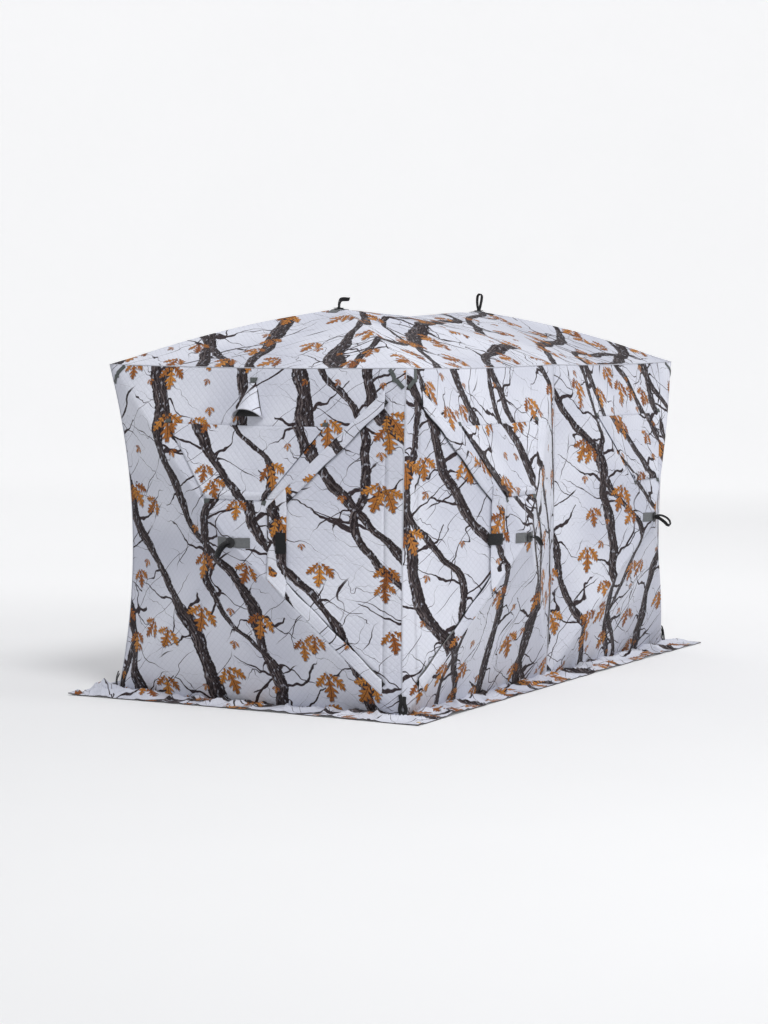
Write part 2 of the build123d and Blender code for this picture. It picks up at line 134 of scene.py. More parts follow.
def new_mesh(name, verts, faces, uvs=None, materials=(), smooth_faces=True, face_materials=None):
    """A mesh object from arrays; uvs holds one pair for each vertex."""
    mesh = bpy.data.meshes.new(name)
    mesh.from_pydata([tuple(v) for v in verts], [], [tuple(f) for f in faces])
    if uvs is not None:
        layer = mesh.uv_layers.new(name="print")
        loops = np.zeros(len(mesh.loops), int)
        mesh.loops.foreach_get("vertex_index", loops)
        layer.data.foreach_set("uv", np.asarray(uvs, float)[loops].ravel())
    for material in materials:
        mesh.materials.append(material)
    if face_materials is not None:
        mesh.polygons.foreach_set("material_index", face_materials)
    mesh.polygons.foreach_set("use_smooth", [smooth_faces] * len(mesh.polygons))
    mesh.update()
    thing = bpy.data.objects.new(name, mesh)
    bpy.context.scene.collection.objects.link(thing)
    return thing


def grid_faces(rows, columns, closed=False):
    """Quads of a grid of points laid out row by row; closed makes a ring of each row."""
    faces = []
    for row in range(rows - 1):
        for column in range(columns if closed else columns - 1):
            first = row * columns + column
            after = row * columns + (column + 1) % columns
            faces.append((first, after, after + columns, first + columns))
    return faces


def thicken(thing, thickness, offset=-1.0, inner_material=0):
    """Gives a surface its thickness, inwards unless offset says otherwise."""
    solid = thing.modifiers.new("thickness", "SOLIDIFY")
    solid.thickness = thickness
    solid.offset = offset
    solid.material_offset = inner_material
    solid.use_quality_normals = True
    return thing


# The panels


class Panel:
    """One hub and its four gores. Corner k and corner k + 1 are joined by the outer edge of gore k."""

    def __init__(self, name, corners, bends, print_offset):
        self.name = name
        self.hub = f"{name}_hub"
        self.normal = -np.array(JOINTS[f"{name}_pop"]["axis"])
        pins = [j["pos_m"] for j in frame["joints"] if j["parent"] == self.hub]
        self.apex = np.mean(pins, axis=0) + self.normal * PIN_DEPTH
        self.corners = [np.array(c, float) for c in corners]
        self.bends = bends
        self.roof = self.normal[2] > 0.5
        self.bow = ROOF_POLE_BOW if self.roof else WALL_POLE_BOW
        self.right = np.array([1.0, 0, 0]) if self.roof else unit(np.cross([0, 0, 1], self.normal))
        self.up = np.array([0, 1.0, 0]) if self.roof else np.array([0, 0, 1.0])
        self.print_right = np.array([0, -1.0, 0]) if self.roof else self.right
        self.print_up = np.array([1.0, 0, 0]) if self.roof else self.up
        self.print_offset = np.array(print_offset)
        side = np.arange(EDGE_SAMPLES) / EDGE_SAMPLES
        self.edge_samples = np.concatenate([self.edge(gore, side) for gore in range(4)])

    def edge(self, gore, t):
        """The outer edge of a gore, t from 0 at its first corner to 1 at its last."""
        t = np.asarray(t, float)[..., None]
        first = self.corners[gore]
        last = self.corners[(gore + 1) % 4]
        bend, power = self.bends[gore]
        shape = 1 - np.abs(2 * t - 1) ** power
        return first + (last - first) * t + np.array(bend) * shape

    def gore_lines(self, gore):
        """A gore's two ridges, the direction of its outer edge, and the way straight out to that edge."""
        first = self.corners[gore] - self.apex
        last = self.corners[(gore + 1) % 4] - self.apex
        along = unit(last - first)
        middle = (first + last) / 2
        return first, last, along, middle - along * (middle @ along)

    def gore_size(self, gore):
        """Half the length of a gore's outer edge, and how far the edge is from the hub."""
        first, last, _, out = self.gore_lines(gore)
        return np.linalg.norm(last - first) / 2, np.linalg.norm(out)

    def surface(self, share, place):
        """Points of the cloth: share from 0 at the hub to 1 at the edge, place from 0 to 4 round the edge."""
        share, place = np.broadcast_arrays(np.asarray(share, float), np.asarray(place, float))
        flat_share = share.ravel()
        flat_place = place.ravel() % 4
        count = len(self.edge_samples)
        spectrum = np.fft.fft(self.edge_samples, axis=0)
        frequency = np.fft.fftfreq(count, 4 / count)
        points = np.zeros((len(flat_share), 3))
        steps = np.round(flat_share, 2)  # the rounding of the ridges hardly changes within a hundredth
        for value in np.unique(steps):
            rows = steps == value
            width = min(RIDGE_ROUNDING / (PANEL_SIDE * max(value, HUB_SHARE)), WIDEST_ROUNDING)
            width *= smooth((1 - value) / 0.10)
            blur = np.exp(-2 * (math.pi * width * frequency) ** 2)
            blurred = np.fft.ifft(spectrum * blur[:, None], axis=0).real
            position = flat_place[rows] * count / 4
            low = np.floor(position).astype(int)
            part = (position - low)[:, None]
            ring = blurred[low % count] * (1 - part) + blurred[(low + 1) % count] * part
            points[rows] = self.apex + (ring - self.apex) * flat_share[rows][:, None]
        across = np.abs(2 * (flat_place % 1) - 1)
        arch = 4 * flat_share * (1 - flat_share) * self.bow * (0.15 + 0.85 * across**3)
        points += self.normal * arch[:, None]
        points += self.normal * self.wrinkles(points, flat_share, across)[:, None]
        return points.reshape(share.shape + (3,))

    def wrinkles(self, points, share, across):
        """Shallow folds of the stretched cloth, which die out at the hub, the ridges and the seams."""
        seed = sum(ord(letter) for letter in self.name)
        calm = smooth(share / 0.25) * smooth((1 - share) / 0.06) * smooth((1 - across) / 0.12)
        broad = waves(points, seed, 1.6) * 0.0045
        fine = waves(points * np.array([1, 1, 0.55]), seed + 1, 5.5, 9) * 0.0016
        return (broad + fine) * calm

    def blend(self, piece, share):
        """Cloth between the frame and this panel's hub: its placement is baked into its mesh, so it stays
        with the frame. The share is not used.
        """
        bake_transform(piece)
        return piece

    def print_uv(self, points, offset=(0, 0)):
        """Print coordinates in metres, across and up the panel, from its own place on the roll."""
        flat = np.stack([points @ self.print_right, points @ self.print_up], axis=-1)
        return flat + self.print_offset + np.array(offset)

    def cone_share(self, points):
        """The share of the way from hub to edge of any points near the panel."""
        best = np.zeros(len(points))
        for gore in range(4):
            first = self.corners[gore]
            last = self.corners[(gore + 1) % 4]
            outward = (first + last) / 2 - self.apex
            outward = outward - self.normal * (outward @ self.normal)
            along = unit(last - first)
            outward = outward - along * (outward @ along)
            best = np.maximum(best, (points - self.apex) @ outward / (outward @ outward))
        return best


# Corners and the bends of edges; sx and sy are -1 or 1, for left or right and front or back


def floor_corner(sx, sy):
    return (sx * FLOOR_X, sy * FLOOR_Y, FLOOR_Z)


def eave_corner(sx, sy):
    return (sx * EAVE_X, sy * EAVE_Y, EAVE_Z)


def seam_bend(sx, sy):
    bow = SEAM_BOWS[(sx, sy)]
    return (-sx * bow, -sy * bow, 0), SEAM_CURVE


def end_panel(name, sx, offset):
    corners = [eave_corner(sx, -1), eave_corner(sx, 1), floor_corner(sx, 1), floor_corner(sx, -1)]
    eave = (-sx * EAVE_SAG, 0, -EAVE_DROP), EAVE_CURVE
    floor = (-sx * FLOOR_BOW, 0, 0), SEAM_CURVE
    return Panel(name, corners, [eave, seam_bend(sx, 1), floor, seam_bend(sx, -1)], offset)


def long_panel(name, sx, sy, offset):
    top = [eave_corner(sx, sy), (0, sy * EAVE_Y, EAVE_Z)]
    corners = top + [(0, sy * FLOOR_Y, FLOOR_Z), floor_corner(sx, sy)]
    eave = (0, -sy * EAVE_SAG, -EAVE_DROP), EAVE_CURVE
    middle = (0, sy * MIDDLE_SEAM_BOW, 0), SEAM_CURVE
    floor = (0, -sy * FLOOR_BOW, 0), SEAM_CURVE
    return Panel(name, corners, [eave, middle, floor, seam_bend(sx, sy)], offset)


def roof_panel(name, sx, offset):
    corners = [eave_corner(sx, -1), (0, -EAVE_Y, EAVE_Z), (0, EAVE_Y, EAVE_Z), eave_corner(sx, 1)]
    front = (0, EAVE_SAG, -EAVE_DROP), EAVE_CURVE
    middle = (0, 0, RIDGE_TOP - EAVE_Z), RIDGE_CURVE
    back = (0, -EAVE_SAG, -EAVE_DROP), EAVE_CURVE
    end = (-sx * EAVE_SAG, 0, -EAVE_DROP), EAVE_CURVE
    return Panel(name, corners, [front, middle, back, end], offset)


PANELS = {
    panel.name: panel
    for panel in [
        end_panel("left_end", -1, (3.1, 0.42)),
        end_panel("right_end", 1, (7.3, 1.15)),
        long_panel("front_left", -1, -1, (12.2, 0.63)),
        long_panel("front_right", 1, -1, (17.9, 0.21)),
        long_panel("back_left", -1, 1, (22.4, 0.87)),
        long_panel("back_right", 1, 1, (28.6, 0.33)),
        roof_panel("roof_left", -1, (33.7, 1.90)),
        roof_panel("roof_right", 1, (39.2, 2.60)),
    ]
}


# Materials


class Nodes:
    """A short way to write a material's node tree. Every method returns an output socket."""

    def __init__(self, name):
        self.material = bpy.data.materials.new(name)
        self.material.use_nodes = True
        self.tree = self.material.node_tree
        self.tree.nodes.clear()
        self.shader = self.tree.nodes.new("ShaderNodeBsdfPrincipled")
        output = self.tree.nodes.new("ShaderNodeOutputMaterial")
        self.tree.links.new(self.shader.outputs["BSDF"], output.inputs["Surface"])

    def put(self, socket, value):
        if isinstance(value, bpy.types.NodeSocket):
            self.tree.links.new(value, socket)
        elif value is not None:
            socket.default_value = value

    def set(self, **values):
        """Uniform values on the shader's own sockets, and links where a socket is given."""
        for key, value in values.items():
            self.put(self.shader.inputs[key.replace("_", " ")], value)

    def node(self, kind, inputs=(), **settings):
        """A new node with its settings, and a value or a link for some of its inputs."""
        node = self.tree.nodes.new(f"ShaderNode{kind}")
        for key, value in settings.items():
            setattr(node, key, value)
        for key, value in inputs.items() if isinstance(inputs, dict) else enumerate(inputs):
            self.put(node.inputs[key], value)
        return node

    def math(self, operation, *values, clamp=False):
        return self.node("Math", values, operation=operation, use_clamp=clamp).outputs[0]

    def add(self, a, b):
        return self.math("ADD", a, b)

    def sub(self, a, b):
        return self.math("SUBTRACT", a, b)

    def mul(self, a, b):
        return self.math("MULTIPLY", a, b)

    def div(self, a, b):
        return self.math("DIVIDE", a, b)

    def centred(self, value, width):
        """Turns 0..1 into a spread of that width round 0."""
        return self.mul(self.sub(value, 0.5), width)

    def ramp(self, value, low, high, to_low=0.0, to_high=1.0):
        """Maps low..high smoothly to to_low..to_high."""
        values = (value, low, high, to_low, to_high)
        return self.node("MapRange", values, interpolation_type="SMOOTHSTEP").outputs[0]

    def mix(self, share, a, b):
        return self.node("Mix", {"Factor": share, 6: a, 7: b}, data_type="RGBA").outputs[2]

    def vector(self, x, y, z=0.0):
        return self.node("CombineXYZ", (x, y, z)).outputs[0]

    def split(self, vector):
        return tuple(self.node("SeparateXYZ", [vector]).outputs)

    def noise(self, vector, scale, detail=2.0, roughness=0.5, dimensions="2D"):
        inputs = {"Vector": vector, "Scale": scale, "Detail": detail, "Roughness": roughness}
        return self.node("TexNoise", inputs, noise_dimensions=dimensions).outputs["Fac"]

    def white(self, value):
        return self.node("TexWhiteNoise", {"W": value}, noise_dimensions="1D").outputs["Value"]

    def cells(self, vector, scale, randomness):
        inputs = {"Vector": vector, "Scale": scale, "Randomness": randomness}
        node = self.node("TexVoronoi", inputs, voronoi_dimensions="2D")
        return node.outputs["Position"], node.outputs["Color"]

    def curve(self, value, points):
        """A smooth curve of value, from 0 to 1, through given points."""
        node = self.node("FloatCurve", {"Value": value})
        line = node.mapping.curves[0]
        line.points[0].location = points[0]
        line.points[1].location = points[-1]
        for x, y in points[1:-1]:
            line.points.new(x, y)
        node.mapping.update()
        return node.outputs[0]

    def fraction(self, value):
        return self.math("FRACT", value)

    def absolute(self, value):
        return self.math("ABSOLUTE", value)

    def uv(self):
        return self.node("UVMap", uv_map="print").outputs[0]

    def position(self):
        return self.node("NewGeometry").outputs["Position"]

    def object_place(self):
        return self.node("TexCoord").outputs["Object"]

    def bump(self, height, distance, strength):
        inputs = {"Distance": distance, "Strength": strength, "Height": height}
        return self.node("Bump", inputs).outputs[0]


GROUND_WHITE = (0.70, 0.715, 0.79, 1)
GROUND_GREY = (0.56, 0.575, 0.66, 1)
BARK_DARK = (0.016, 0.010, 0.011, 1)
BARK_LIGHT = (0.17, 0.140, 0.140, 1)
TWIG = (0.034, 0.023, 0.025, 1)
LEAF_ORANGE = (0.56, 0.235, 0.045, 1)
LEAF_RUST = (0.27, 0.085, 0.020, 1)
LEAF_DARK = (0.075, 0.028, 0.012, 1)
LEAF_OUTLINE = [
    (0.0, 0.04), (0.12, 0.05), (0.20, 0.36), (0.27, 0.16), (0.38, 0.74), (0.46, 0.26),
    (0.58, 1.0), (0.67, 0.38), (0.77, 0.72), (0.85, 0.30), (0.92, 0.34), (1.0, 0.0),
]
# How a limb and a twig sway on the way up, and how branches climb or fall on the way out
LIMB_BENDS = [
    (0.0, 0.42), (0.14, 0.62), (0.30, 0.80), (0.45, 0.52),
    (0.58, 0.22), (0.75, 0.10), (0.90, 0.30), (1.0, 0.42),
]
THIN_BENDS = [(0.0, 0.5), (0.2, 0.75), (0.38, 0.62), (0.55, 0.18), (0.72, 0.4), (0.88, 0.3), (1.0, 0.5)]
BRANCH_RISE = [(0.0, 0.5), (0.2, 0.60), (0.45, 0.66), (0.7, 0.86), (1.0, 1.0)]
BRANCH_FALL = [(0.0, 0.5), (0.25, 0.52), (0.5, 0.36), (0.75, 0.30), (1.0, 0.05)]
FINE_EDGE = 0.0014  # how softly a branch's edge is printed
# The turn, length and plumpness of each leaf of a cluster
LEAF_TURNS = [(-0.78, 0.72, 0.24), (0.70, 0.80, 0.25), (-0.05, 1.0, 0.27)]
# The pitch, leaf length, density and seed of each scatter of clusters
LEAF_SCATTERS = [(0.34, 0.150, 0.74, 3.3), (0.39, 0.125, 0.66, 9.1), (0.21, 0.048, 0.34, 15.7)]
QUILT_PITCH = 0.036


def limbs(n, u, v, spacing, drift, period, bends, sway, seed):
    """Lanes that climb the cloth and drift sideways: the distance across a lane's limb, and the lane."""
    slid = n.div(n.add(u, n.mul(v, drift)), spacing)
    lane = n.math("FLOOR", slid)
    local = n.centred(n.sub(slid, lane), spacing)
    turn = n.fraction(n.add(n.div(v, period), n.white(n.add(lane, seed))))
    centre = n.centred(n.curve(turn, bends), sway)
    return n.sub(local, centre), lane


def stroke(n, across, half_width, softness):
    """How far inside a painted line: 1 within half_width of it, 0 outside."""
    low = n.sub(half_width, softness)
    high = n.add(half_width, softness)
    return n.ramp(n.absolute(across), low, high, 1.0, 0.0)


def branches(n, across, v, lane, side, pitch, line, height, reach, width, wobble, density, seed):
    """Thin branches that leave a limb on one side, climb or fall along a line and taper to nothing."""
    out = n.mul(across, side)
    share = n.math("DIVIDE", out, reach, clamp=True)
    rise = n.centred(n.curve(share, line), height)
    row = n.add(n.div(n.sub(n.add(v, wobble), rise), pitch), n.white(n.add(lane, seed)))
    index = n.math("FLOOR", row)
    offset = n.centred(n.sub(row, index), pitch)
    kept = n.math("LESS_THAN", n.white(n.add(n.mul(index, 3.17), n.add(lane, seed))), density)
    taper = n.mul(n.sub(1.0, share), width)
    inside = n.math("GREATER_THAN", out, 0.0)
    return n.mul(n.mul(stroke(n, offset, taper, FINE_EDGE), kept), inside)


def leaf(n, du, dv, angle, size, plump, shaken):
    """A lobed leaf with its stem at the origin: how far inside, and a shade from its ribs and margin."""
    cosine = n.math("COSINE", angle)
    sine = n.math("SINE", angle)
    along = n.div(n.add(n.mul(du, cosine), n.mul(dv, sine)), size)
    across = n.div(n.sub(n.mul(dv, cosine), n.mul(du, sine)), size)
    curved = n.add(across, n.mul(n.math("POWER", n.sub(along, 0.5), 2.0), 0.22))
    distance = n.absolute(curved)
    swept = n.add(n.sub(along, n.mul(distance, 0.45)), shaken)
    half = n.mul(n.curve(swept, LEAF_OUTLINE), plump)
    inside = n.ramp(n.sub(half, distance), -0.006, 0.022)
    within = n.mul(n.math("GREATER_THAN", along, 0.0), n.math("LESS_THAN", swept, 1.0))
    rib = n.ramp(distance, 0.004, 0.020, 0.0, 1.0)
    vein = n.fraction(n.mul(n.sub(along, n.mul(distance, 0.8)), 7.0))
    vein = n.ramp(n.absolute(n.sub(vein, 0.5)), 0.36, 0.5, 1.0, 0.45)
    margin = n.ramp(n.sub(half, distance), 0.0, 0.07, 0.35, 1.0)
    return n.mul(inside, within), n.mul(n.mul(rib, vein), margin)


def leaf_clusters(n, colour, u, v, pitch, size, density, seed, jag):
    """Clusters of leaves that fan down from a stem, at loose places on the cloth, painted over the colour."""
    spot, random = n.cells(n.vector(n.add(u, seed), n.add(v, seed)), 1 / pitch, 0.42)
    spot_u, spot_v, _ = n.split(spot)
    first, second, third = n.split(random)
    du = n.sub(n.add(u, seed), spot_u)
    dv = n.sub(n.add(v, seed), n.add(spot_v, size * 0.45))
    kept = n.math("LESS_THAN", third, density)
    for turn, share, plump in LEAF_TURNS:
        angle = n.add(n.centred(first, 1.3), turn - math.pi / 2)
        length = n.mul(n.add(0.78, n.mul(second, 0.35)), size * share)
        inside, shade = leaf(n, du, dv, angle, length, plump, jag)
        tint = n.mix(n.fraction(n.add(second, n.mul(share, 1.7))), LEAF_ORANGE, LEAF_RUST)
        tint = n.mix(shade, LEAF_DARK, tint)
        shadow, _ = leaf(n, n.sub(du, 0.004), n.add(dv, 0.006), angle, length, plump, jag)
        colour = n.mix(n.mul(n.mul(shadow, kept), 0.55), colour, TWIG)
        colour = n.mix(n.mul(inside, kept), colour, tint)
    return colour


def quilting(n, u, v):
    """How far a place is between two quilting seams of each diagonal direction, from 0 to 1."""
    first = n.fraction(n.div(n.add(u, v), QUILT_PITCH))
    return first, n.fraction(n.div(n.sub(u, v), QUILT_PITCH))


def printed_cloth():
    """White quilted cloth printed with bare limbs, twigs and hanging leaves.

    Its node tree is close to the largest that Cycles can hold.
    """
    n = Nodes("camo_cloth")
    place = n.uv()
    u, v, _ = n.split(place)
    drifting = n.centred(n.noise(place, 2.3, 2.0), 0.16)
    ragged = n.centred(n.noise(place, 46.0, 3.0, 0.65), 0.016)
    twisting = n.centred(n.noise(place, 9.0, 2.0), 0.075)
    bent_u = n.add(u, drifting)

    soil = n.noise(place, 1.3, 3.0)
    colour = n.mix(n.ramp(soil, 0.3, 0.75), GROUND_WHITE, GROUND_GREY)

    # hair-thin twigs and thin crossing branches
    for spacing, drift, period, sway, width, seed in [
        (0.23, -1.15, 0.47, 0.10, 0.0022, 5.3),
        (0.31, 1.75, 0.61, 0.13, 0.0024, 11.9),
        (0.42, -0.35, 0.83, 0.20, 0.0036, 23.1),
        (0.78, -0.95, 0.92, 0.34, 0.0091, 31.7),
    ]:
        shaken = n.add(u, n.mul(twisting, 1.1)), n.add(v, twisting)
        across, _ = limbs(n, *shaken, spacing, drift, period, THIN_BENDS, sway, seed)
        broken = n.ramp(n.noise(n.vector(n.add(u, seed), v), 2.6, 1.0), 0.44, 0.58)
        wide = n.mul(broken, width)
        colour = n.mix(n.mul(stroke(n, across, wide, 0.0010), broken), colour, TWIG)

    # the limbs with their branches
    for spacing, drift, period, sway, width, seed in [
        (0.48, 0.52, 1.35, 0.26, 0.037, 2.0),
        (0.97, 0.34, 1.02, 0.34, 0.028, 7.0),
    ]:
        across, lane = limbs(n, bent_u, v, spacing, drift, period, LIMB_BENDS, sway, seed)
        for side, pitch, line, height, reach, thick, density, number in [
            (1, 0.46, BRANCH_RISE, 0.42, 0.34, 0.0125, 0.80, 1.0),
            (-1, 0.52, BRANCH_RISE, 0.36, 0.36, 0.0115, 0.75, 2.0),
            (1, 0.38, BRANCH_FALL, 0.40, 0.28, 0.0080, 0.60, 3.0),
            (-1, 0.33, BRANCH_FALL, 0.34, 0.26, 0.0070, 0.60, 4.0),
            (1, 0.17, BRANCH_RISE, 0.30, 0.16, 0.0028, 0.50, 5.0),
            (-1, 0.15, BRANCH_RISE, 0.22, 0.15, 0.0026, 0.50, 6.0),
        ]:
            shape = (side, pitch, line, height, reach, thick)
            mask = branches(n, across, v, lane, *shape, twisting, density, seed + number)
            colour = n.mix(mask, colour, TWIG)
        girth = n.add(0.55, n.mul(n.noise(n.vector(lane, v), 1.7, 1.0), 0.9))
        wide = n.add(n.mul(girth, width), ragged)
        streaks = n.noise(n.vector(n.mul(across, 95.0), n.mul(v, 17.0)), 1.0, 4.0, 0.7)
        flecks = n.noise(n.vector(n.mul(u, 60.0), n.mul(v, 34.0)), 1.0, 2.0)
        lit = n.ramp(n.div(across, width), -1.0, 0.9, 1.0, 0.15)
        bark = n.mix(n.mul(n.ramp(streaks, 0.44, 0.66), lit), BARK_DARK, BARK_LIGHT)
        bark = n.mix(n.ramp(flecks, 0.62, 0.72, 0.0, 0.5), bark, GROUND_GREY)
        colour = n.mix(stroke(n, across, wide, 0.0016), colour, bark)

    jag = n.centred(n.noise(place, 34.0, 2.0), 0.075)
    for pitch, size, density, seed in LEAF_SCATTERS:
        colour = leaf_clusters(n, colour, u, v, pitch, size, density, seed, jag)

    weave = n.noise(n.vector(n.mul(u, 900.0), n.mul(v, 700.0)), 1.0, 1.0)
    creases = n.noise(place, 13.0, 4.0, 0.6)
    height = n.add(n.mul(weave, 0.12), n.mul(creases, 0.9))
    puffs = []
    for between in quilting(n, u, v):
        side = n.absolute(n.sub(n.mul(between, 2.0), 1.0))
        puffs.append(n.ramp(side, 0.55, 1.0, 1.0, 0.0))
    puff = n.math("MINIMUM", *puffs)
    height = n.add(height, n.mul(puff, 0.55))
    # painted shade: the colour is darkened a little, towards a dull blue-grey, in the hollows where the
    # quilted cloth dips to its seams
    colour = n.mix(n.ramp(puff, 0.0, 0.35, 0.10, 0.0), colour, (0.20, 0.20, 0.25, 1))
    n.set(Base_Color=colour, Roughness=0.82, Normal=n.bump(height, 0.0022, 0.8))
    n.set(Sheen_Weight=0.04, Specular_IOR_Level=0.16)
    return n.material


def lining_cloth():
    """The plain inner face of the cloth, quilted, light grey."""
    n = Nodes("lining_cloth")
    place = n.uv()
    u, v, _ = n.split(place)
    first, second = quilting(n, u, v)
    seams = [n.ramp(n.absolute(n.sub(between, 0.5)), 0.42, 0.5) for between in (first, second)]
    lines = n.math("MAXIMUM", *seams)
    patchy = n.noise(place, 5.0, 3.0)
    colour = n.mix(patchy, (0.34, 0.35, 0.38, 1), (0.44, 0.45, 0.48, 1))
    # painted shade: the colour is darkened along the quilting seams, the same lines that the bump presses in
    colour = n.mix(n.mul(lines, 0.4), colour, (0.16, 0.16, 0.18, 1))
    height = n.sub(n.mul(n.noise(place, 15.0, 3.0), 0.8), lines)
    n.set(Base_Color=colour, Roughness=0.85, Normal=n.bump(height, 0.002, 0.7))
    n.set(Sheen_Weight=0.1, Specular_IOR_Level=0.2)
    return n.material


CAMO = printed_cloth()
LINING = lining_cloth()


# The stretched cloth of the eight panels


def ring_shares(name):
    """Where the rings of a panel's mesh lie: closer near the hub and the seams, and on the window's edges."""
    steps = np.linspace(0, 1, RINGS + 1)
    shares = HUB_SHARE + (1 - HUB_SHARE) * (0.75 * steps + 0.25 * smooth(steps))
    marks = []
    if name in WINDOW_PANELS:
        marks += list(WINDOW_SHARES)
    if name in DOOR_PANELS:
        marks += [DOOR_TIP, DOOR_HINGE]
    for mark in marks:
        shares[np.argmin(np.abs(shares - mark))] = mark
    return np.sort(shares)


def column_places(name):
    """Where the columns lie round a ring, from 0 to 4, on the window's sides in the top gore."""
    places = np.arange(4 * COLUMNS) / COLUMNS
    if name in WINDOW_PANELS:
        for mark in (0.5 - WINDOW_HALF / 2, 0.5 + WINDOW_HALF / 2):
            places[np.argmin(np.abs(places - mark))] = mark
    return places


def door_half(share):
    """Half the width of a doorway at a share, as a part of the gore's half width there."""
    gore_half = DOOR_GORE_HALF * share
    return max(0.0, 1 - ZIP_INSET * math.sqrt(2.0) / max(gore_half, 1e-6))


def is_open(name, share, place):
    """Whether a place on a panel is in its window or its doorway."""
    if name in WINDOW_PANELS:
        low, high = WINDOW_SHARES
        if low < share < high and abs(2 * place - 1) < WINDOW_HALF:
            return True
    if name not in DOOR_PANELS:
        return False
    return DOOR_TIP < share < DOOR_HINGE and 3 < place and abs(2 * (place - 3) - 1) < door_half(share)


def facing(faces, points, sample, normal):
    """The faces, all turned over if a sample of them looks away from the normal."""
    a, b, c = (points[sample[k]] for k in (0, 1, 3))
    if np.cross(b - a, c - a) @ normal < 0:
        return [face[::-1] for face in faces]
    return faces


def build_panel_cloth(panel):
    """The cloth of a panel in rings round its hub, with its window and its doorway left open."""
    shares = ring_shares(panel.name)
    places = column_places(panel.name)
    count = len(places)
    share_grid, place_grid = np.meshgrid(shares, places, indexing="ij")
    if panel.name in DOOR_PANELS:
        snap_to_doorway(share_grid, place_grid)
    points = panel.surface(share_grid, place_grid)
    closed_places = np.concatenate([place_grid, place_grid[:, :1] + 4], axis=1)
    faces = []
    for ring in range(len(shares) - 1):
        middle_share = (shares[ring] + shares[ring + 1]) / 2
        for column in range(count):
            middle_place = closed_places[ring : ring + 2, column : column + 2].mean()
            if is_open(panel.name, middle_share, middle_place):
                continue
            first = ring * count + column
            second = ring * count + (column + 1) % count
            faces.append((first, first + count, second + count, second))
    flat = points.reshape(-1, 3)
    faces = facing(faces, flat, faces[0], panel.normal)
    cloth = new_mesh(f"cloth_{panel.name}", flat, faces, panel.print_uv(flat), [CAMO, LINING])
    thicken(cloth, CLOTH, inner_material=1)
    panel.blend(cloth, share_grid)
    return cloth


def snap_to_doorway(share_grid, place_grid):
    """Moves the mesh columns nearest a doorway's two slanting sides onto them."""
    for ring in range(share_grid.shape[0]):
        share = share_grid[ring, 0]
        if not DOOR_TIP - 1e-6 <= share <= DOOR_HINGE + 1e-6:
            continue
        half = door_half(share)
        for mark in (3.5 - half / 2, 3.5 + half / 2):
            column = np.argmin(np.abs(place_grid[ring] - mark))
            place_grid[ring, column] = mark


CLOTHS = {name: build_panel_cloth(panel) for name, panel in PANELS.items()}

# Two cloths stand in for each of these nodes, which are hidden
for name, node in [
    ("left_end", "end_walls"),
    ("front_left", "front_wall"),
    ("back_left", "back_wall"),
    ("roof_left", "roof"),
]:
    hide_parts(node)


# Shapes on the cloth

NEAREST = 0.004  # shares nearer the hub than this aren't used


def on_gore(panel, gore, x, y, lift=0.0):
    """Points on a gore: x along its outer edge from the middle, y out from the hub, in its own plane."""
    half, reach = panel.gore_size(gore)
    x, y, lift = np.broadcast_arrays(x, y, lift)
    share = np.clip(y / reach, NEAREST, 1.0)
    place = gore + 0.5 + x / (2 * half * share)
    return panel.surface(share, place) + panel.normal * lift[..., None]


def on_panel(panel, right, up, lift=0.0):
    """Points on a panel at a distance to the right of its hub and above it."""
    right, up, lift = np.broadcast_arrays(right, up, lift)
    flat = right[..., None] * panel.right + up[..., None] * panel.up
    best = np.full(right.shape, -1.0)
    place = np.zeros(right.shape)
    for gore in range(4):
        first, last, along, out = panel.gore_lines(gore)
        across = np.cross(first, last)
        spot = flat - panel.normal * ((flat @ across) / (panel.normal @ across))[..., None]
        share = spot @ out / (out @ out)
        here = share > best
        best = np.where(here, share, best)
        half = np.linalg.norm(last - first) / 2
        x = (spot - (first + last) * 0.5 * share[..., None]) @ along
        place = np.where(here, gore + 0.5 + x / (2 * half * np.maximum(share, 1e-4)), place)
    return panel.surface(np.clip(best, NEAREST, 1.0), place) + panel.normal * lift[..., None]


def cloth_patch(name, panel, points, materials, offset=(0, 0), thickness=0.002, inner_material=0):
    """A grid of points on or near a panel as a piece of cloth."""
    rows, columns = points.shape[:2]
    flat = points.reshape(-1, 3)
    faces = grid_faces(rows, columns)
    faces = facing(faces, flat, faces[-1], panel.normal)
    patch = new_mesh(name, flat, faces, panel.print_uv(flat, offset), materials)
    return thicken(patch, thickness, inner_material=inner_material)


def smooth_path(points, steps=8):
    """A Catmull-Rom curve through given points."""
    points = np.asarray(points, float)
    padded = np.vstack([2 * points[0] - points[1], points, 2 * points[-1] - points[-2]])
    curve = []
    for k in range(1, len(padded) - 2):
        a, b, c, d = padded[k - 1 : k + 3]
        for t in np.arange(steps) / steps:
            bend = (c - a) * t + (2 * a - 5 * b + 4 * c - d) * t**2 + (3 * b - a - 3 * c + d) * t**3
            curve.append(0.5 * (2 * b + bend))
    curve.append(points[-1])
    return np.array(curve)


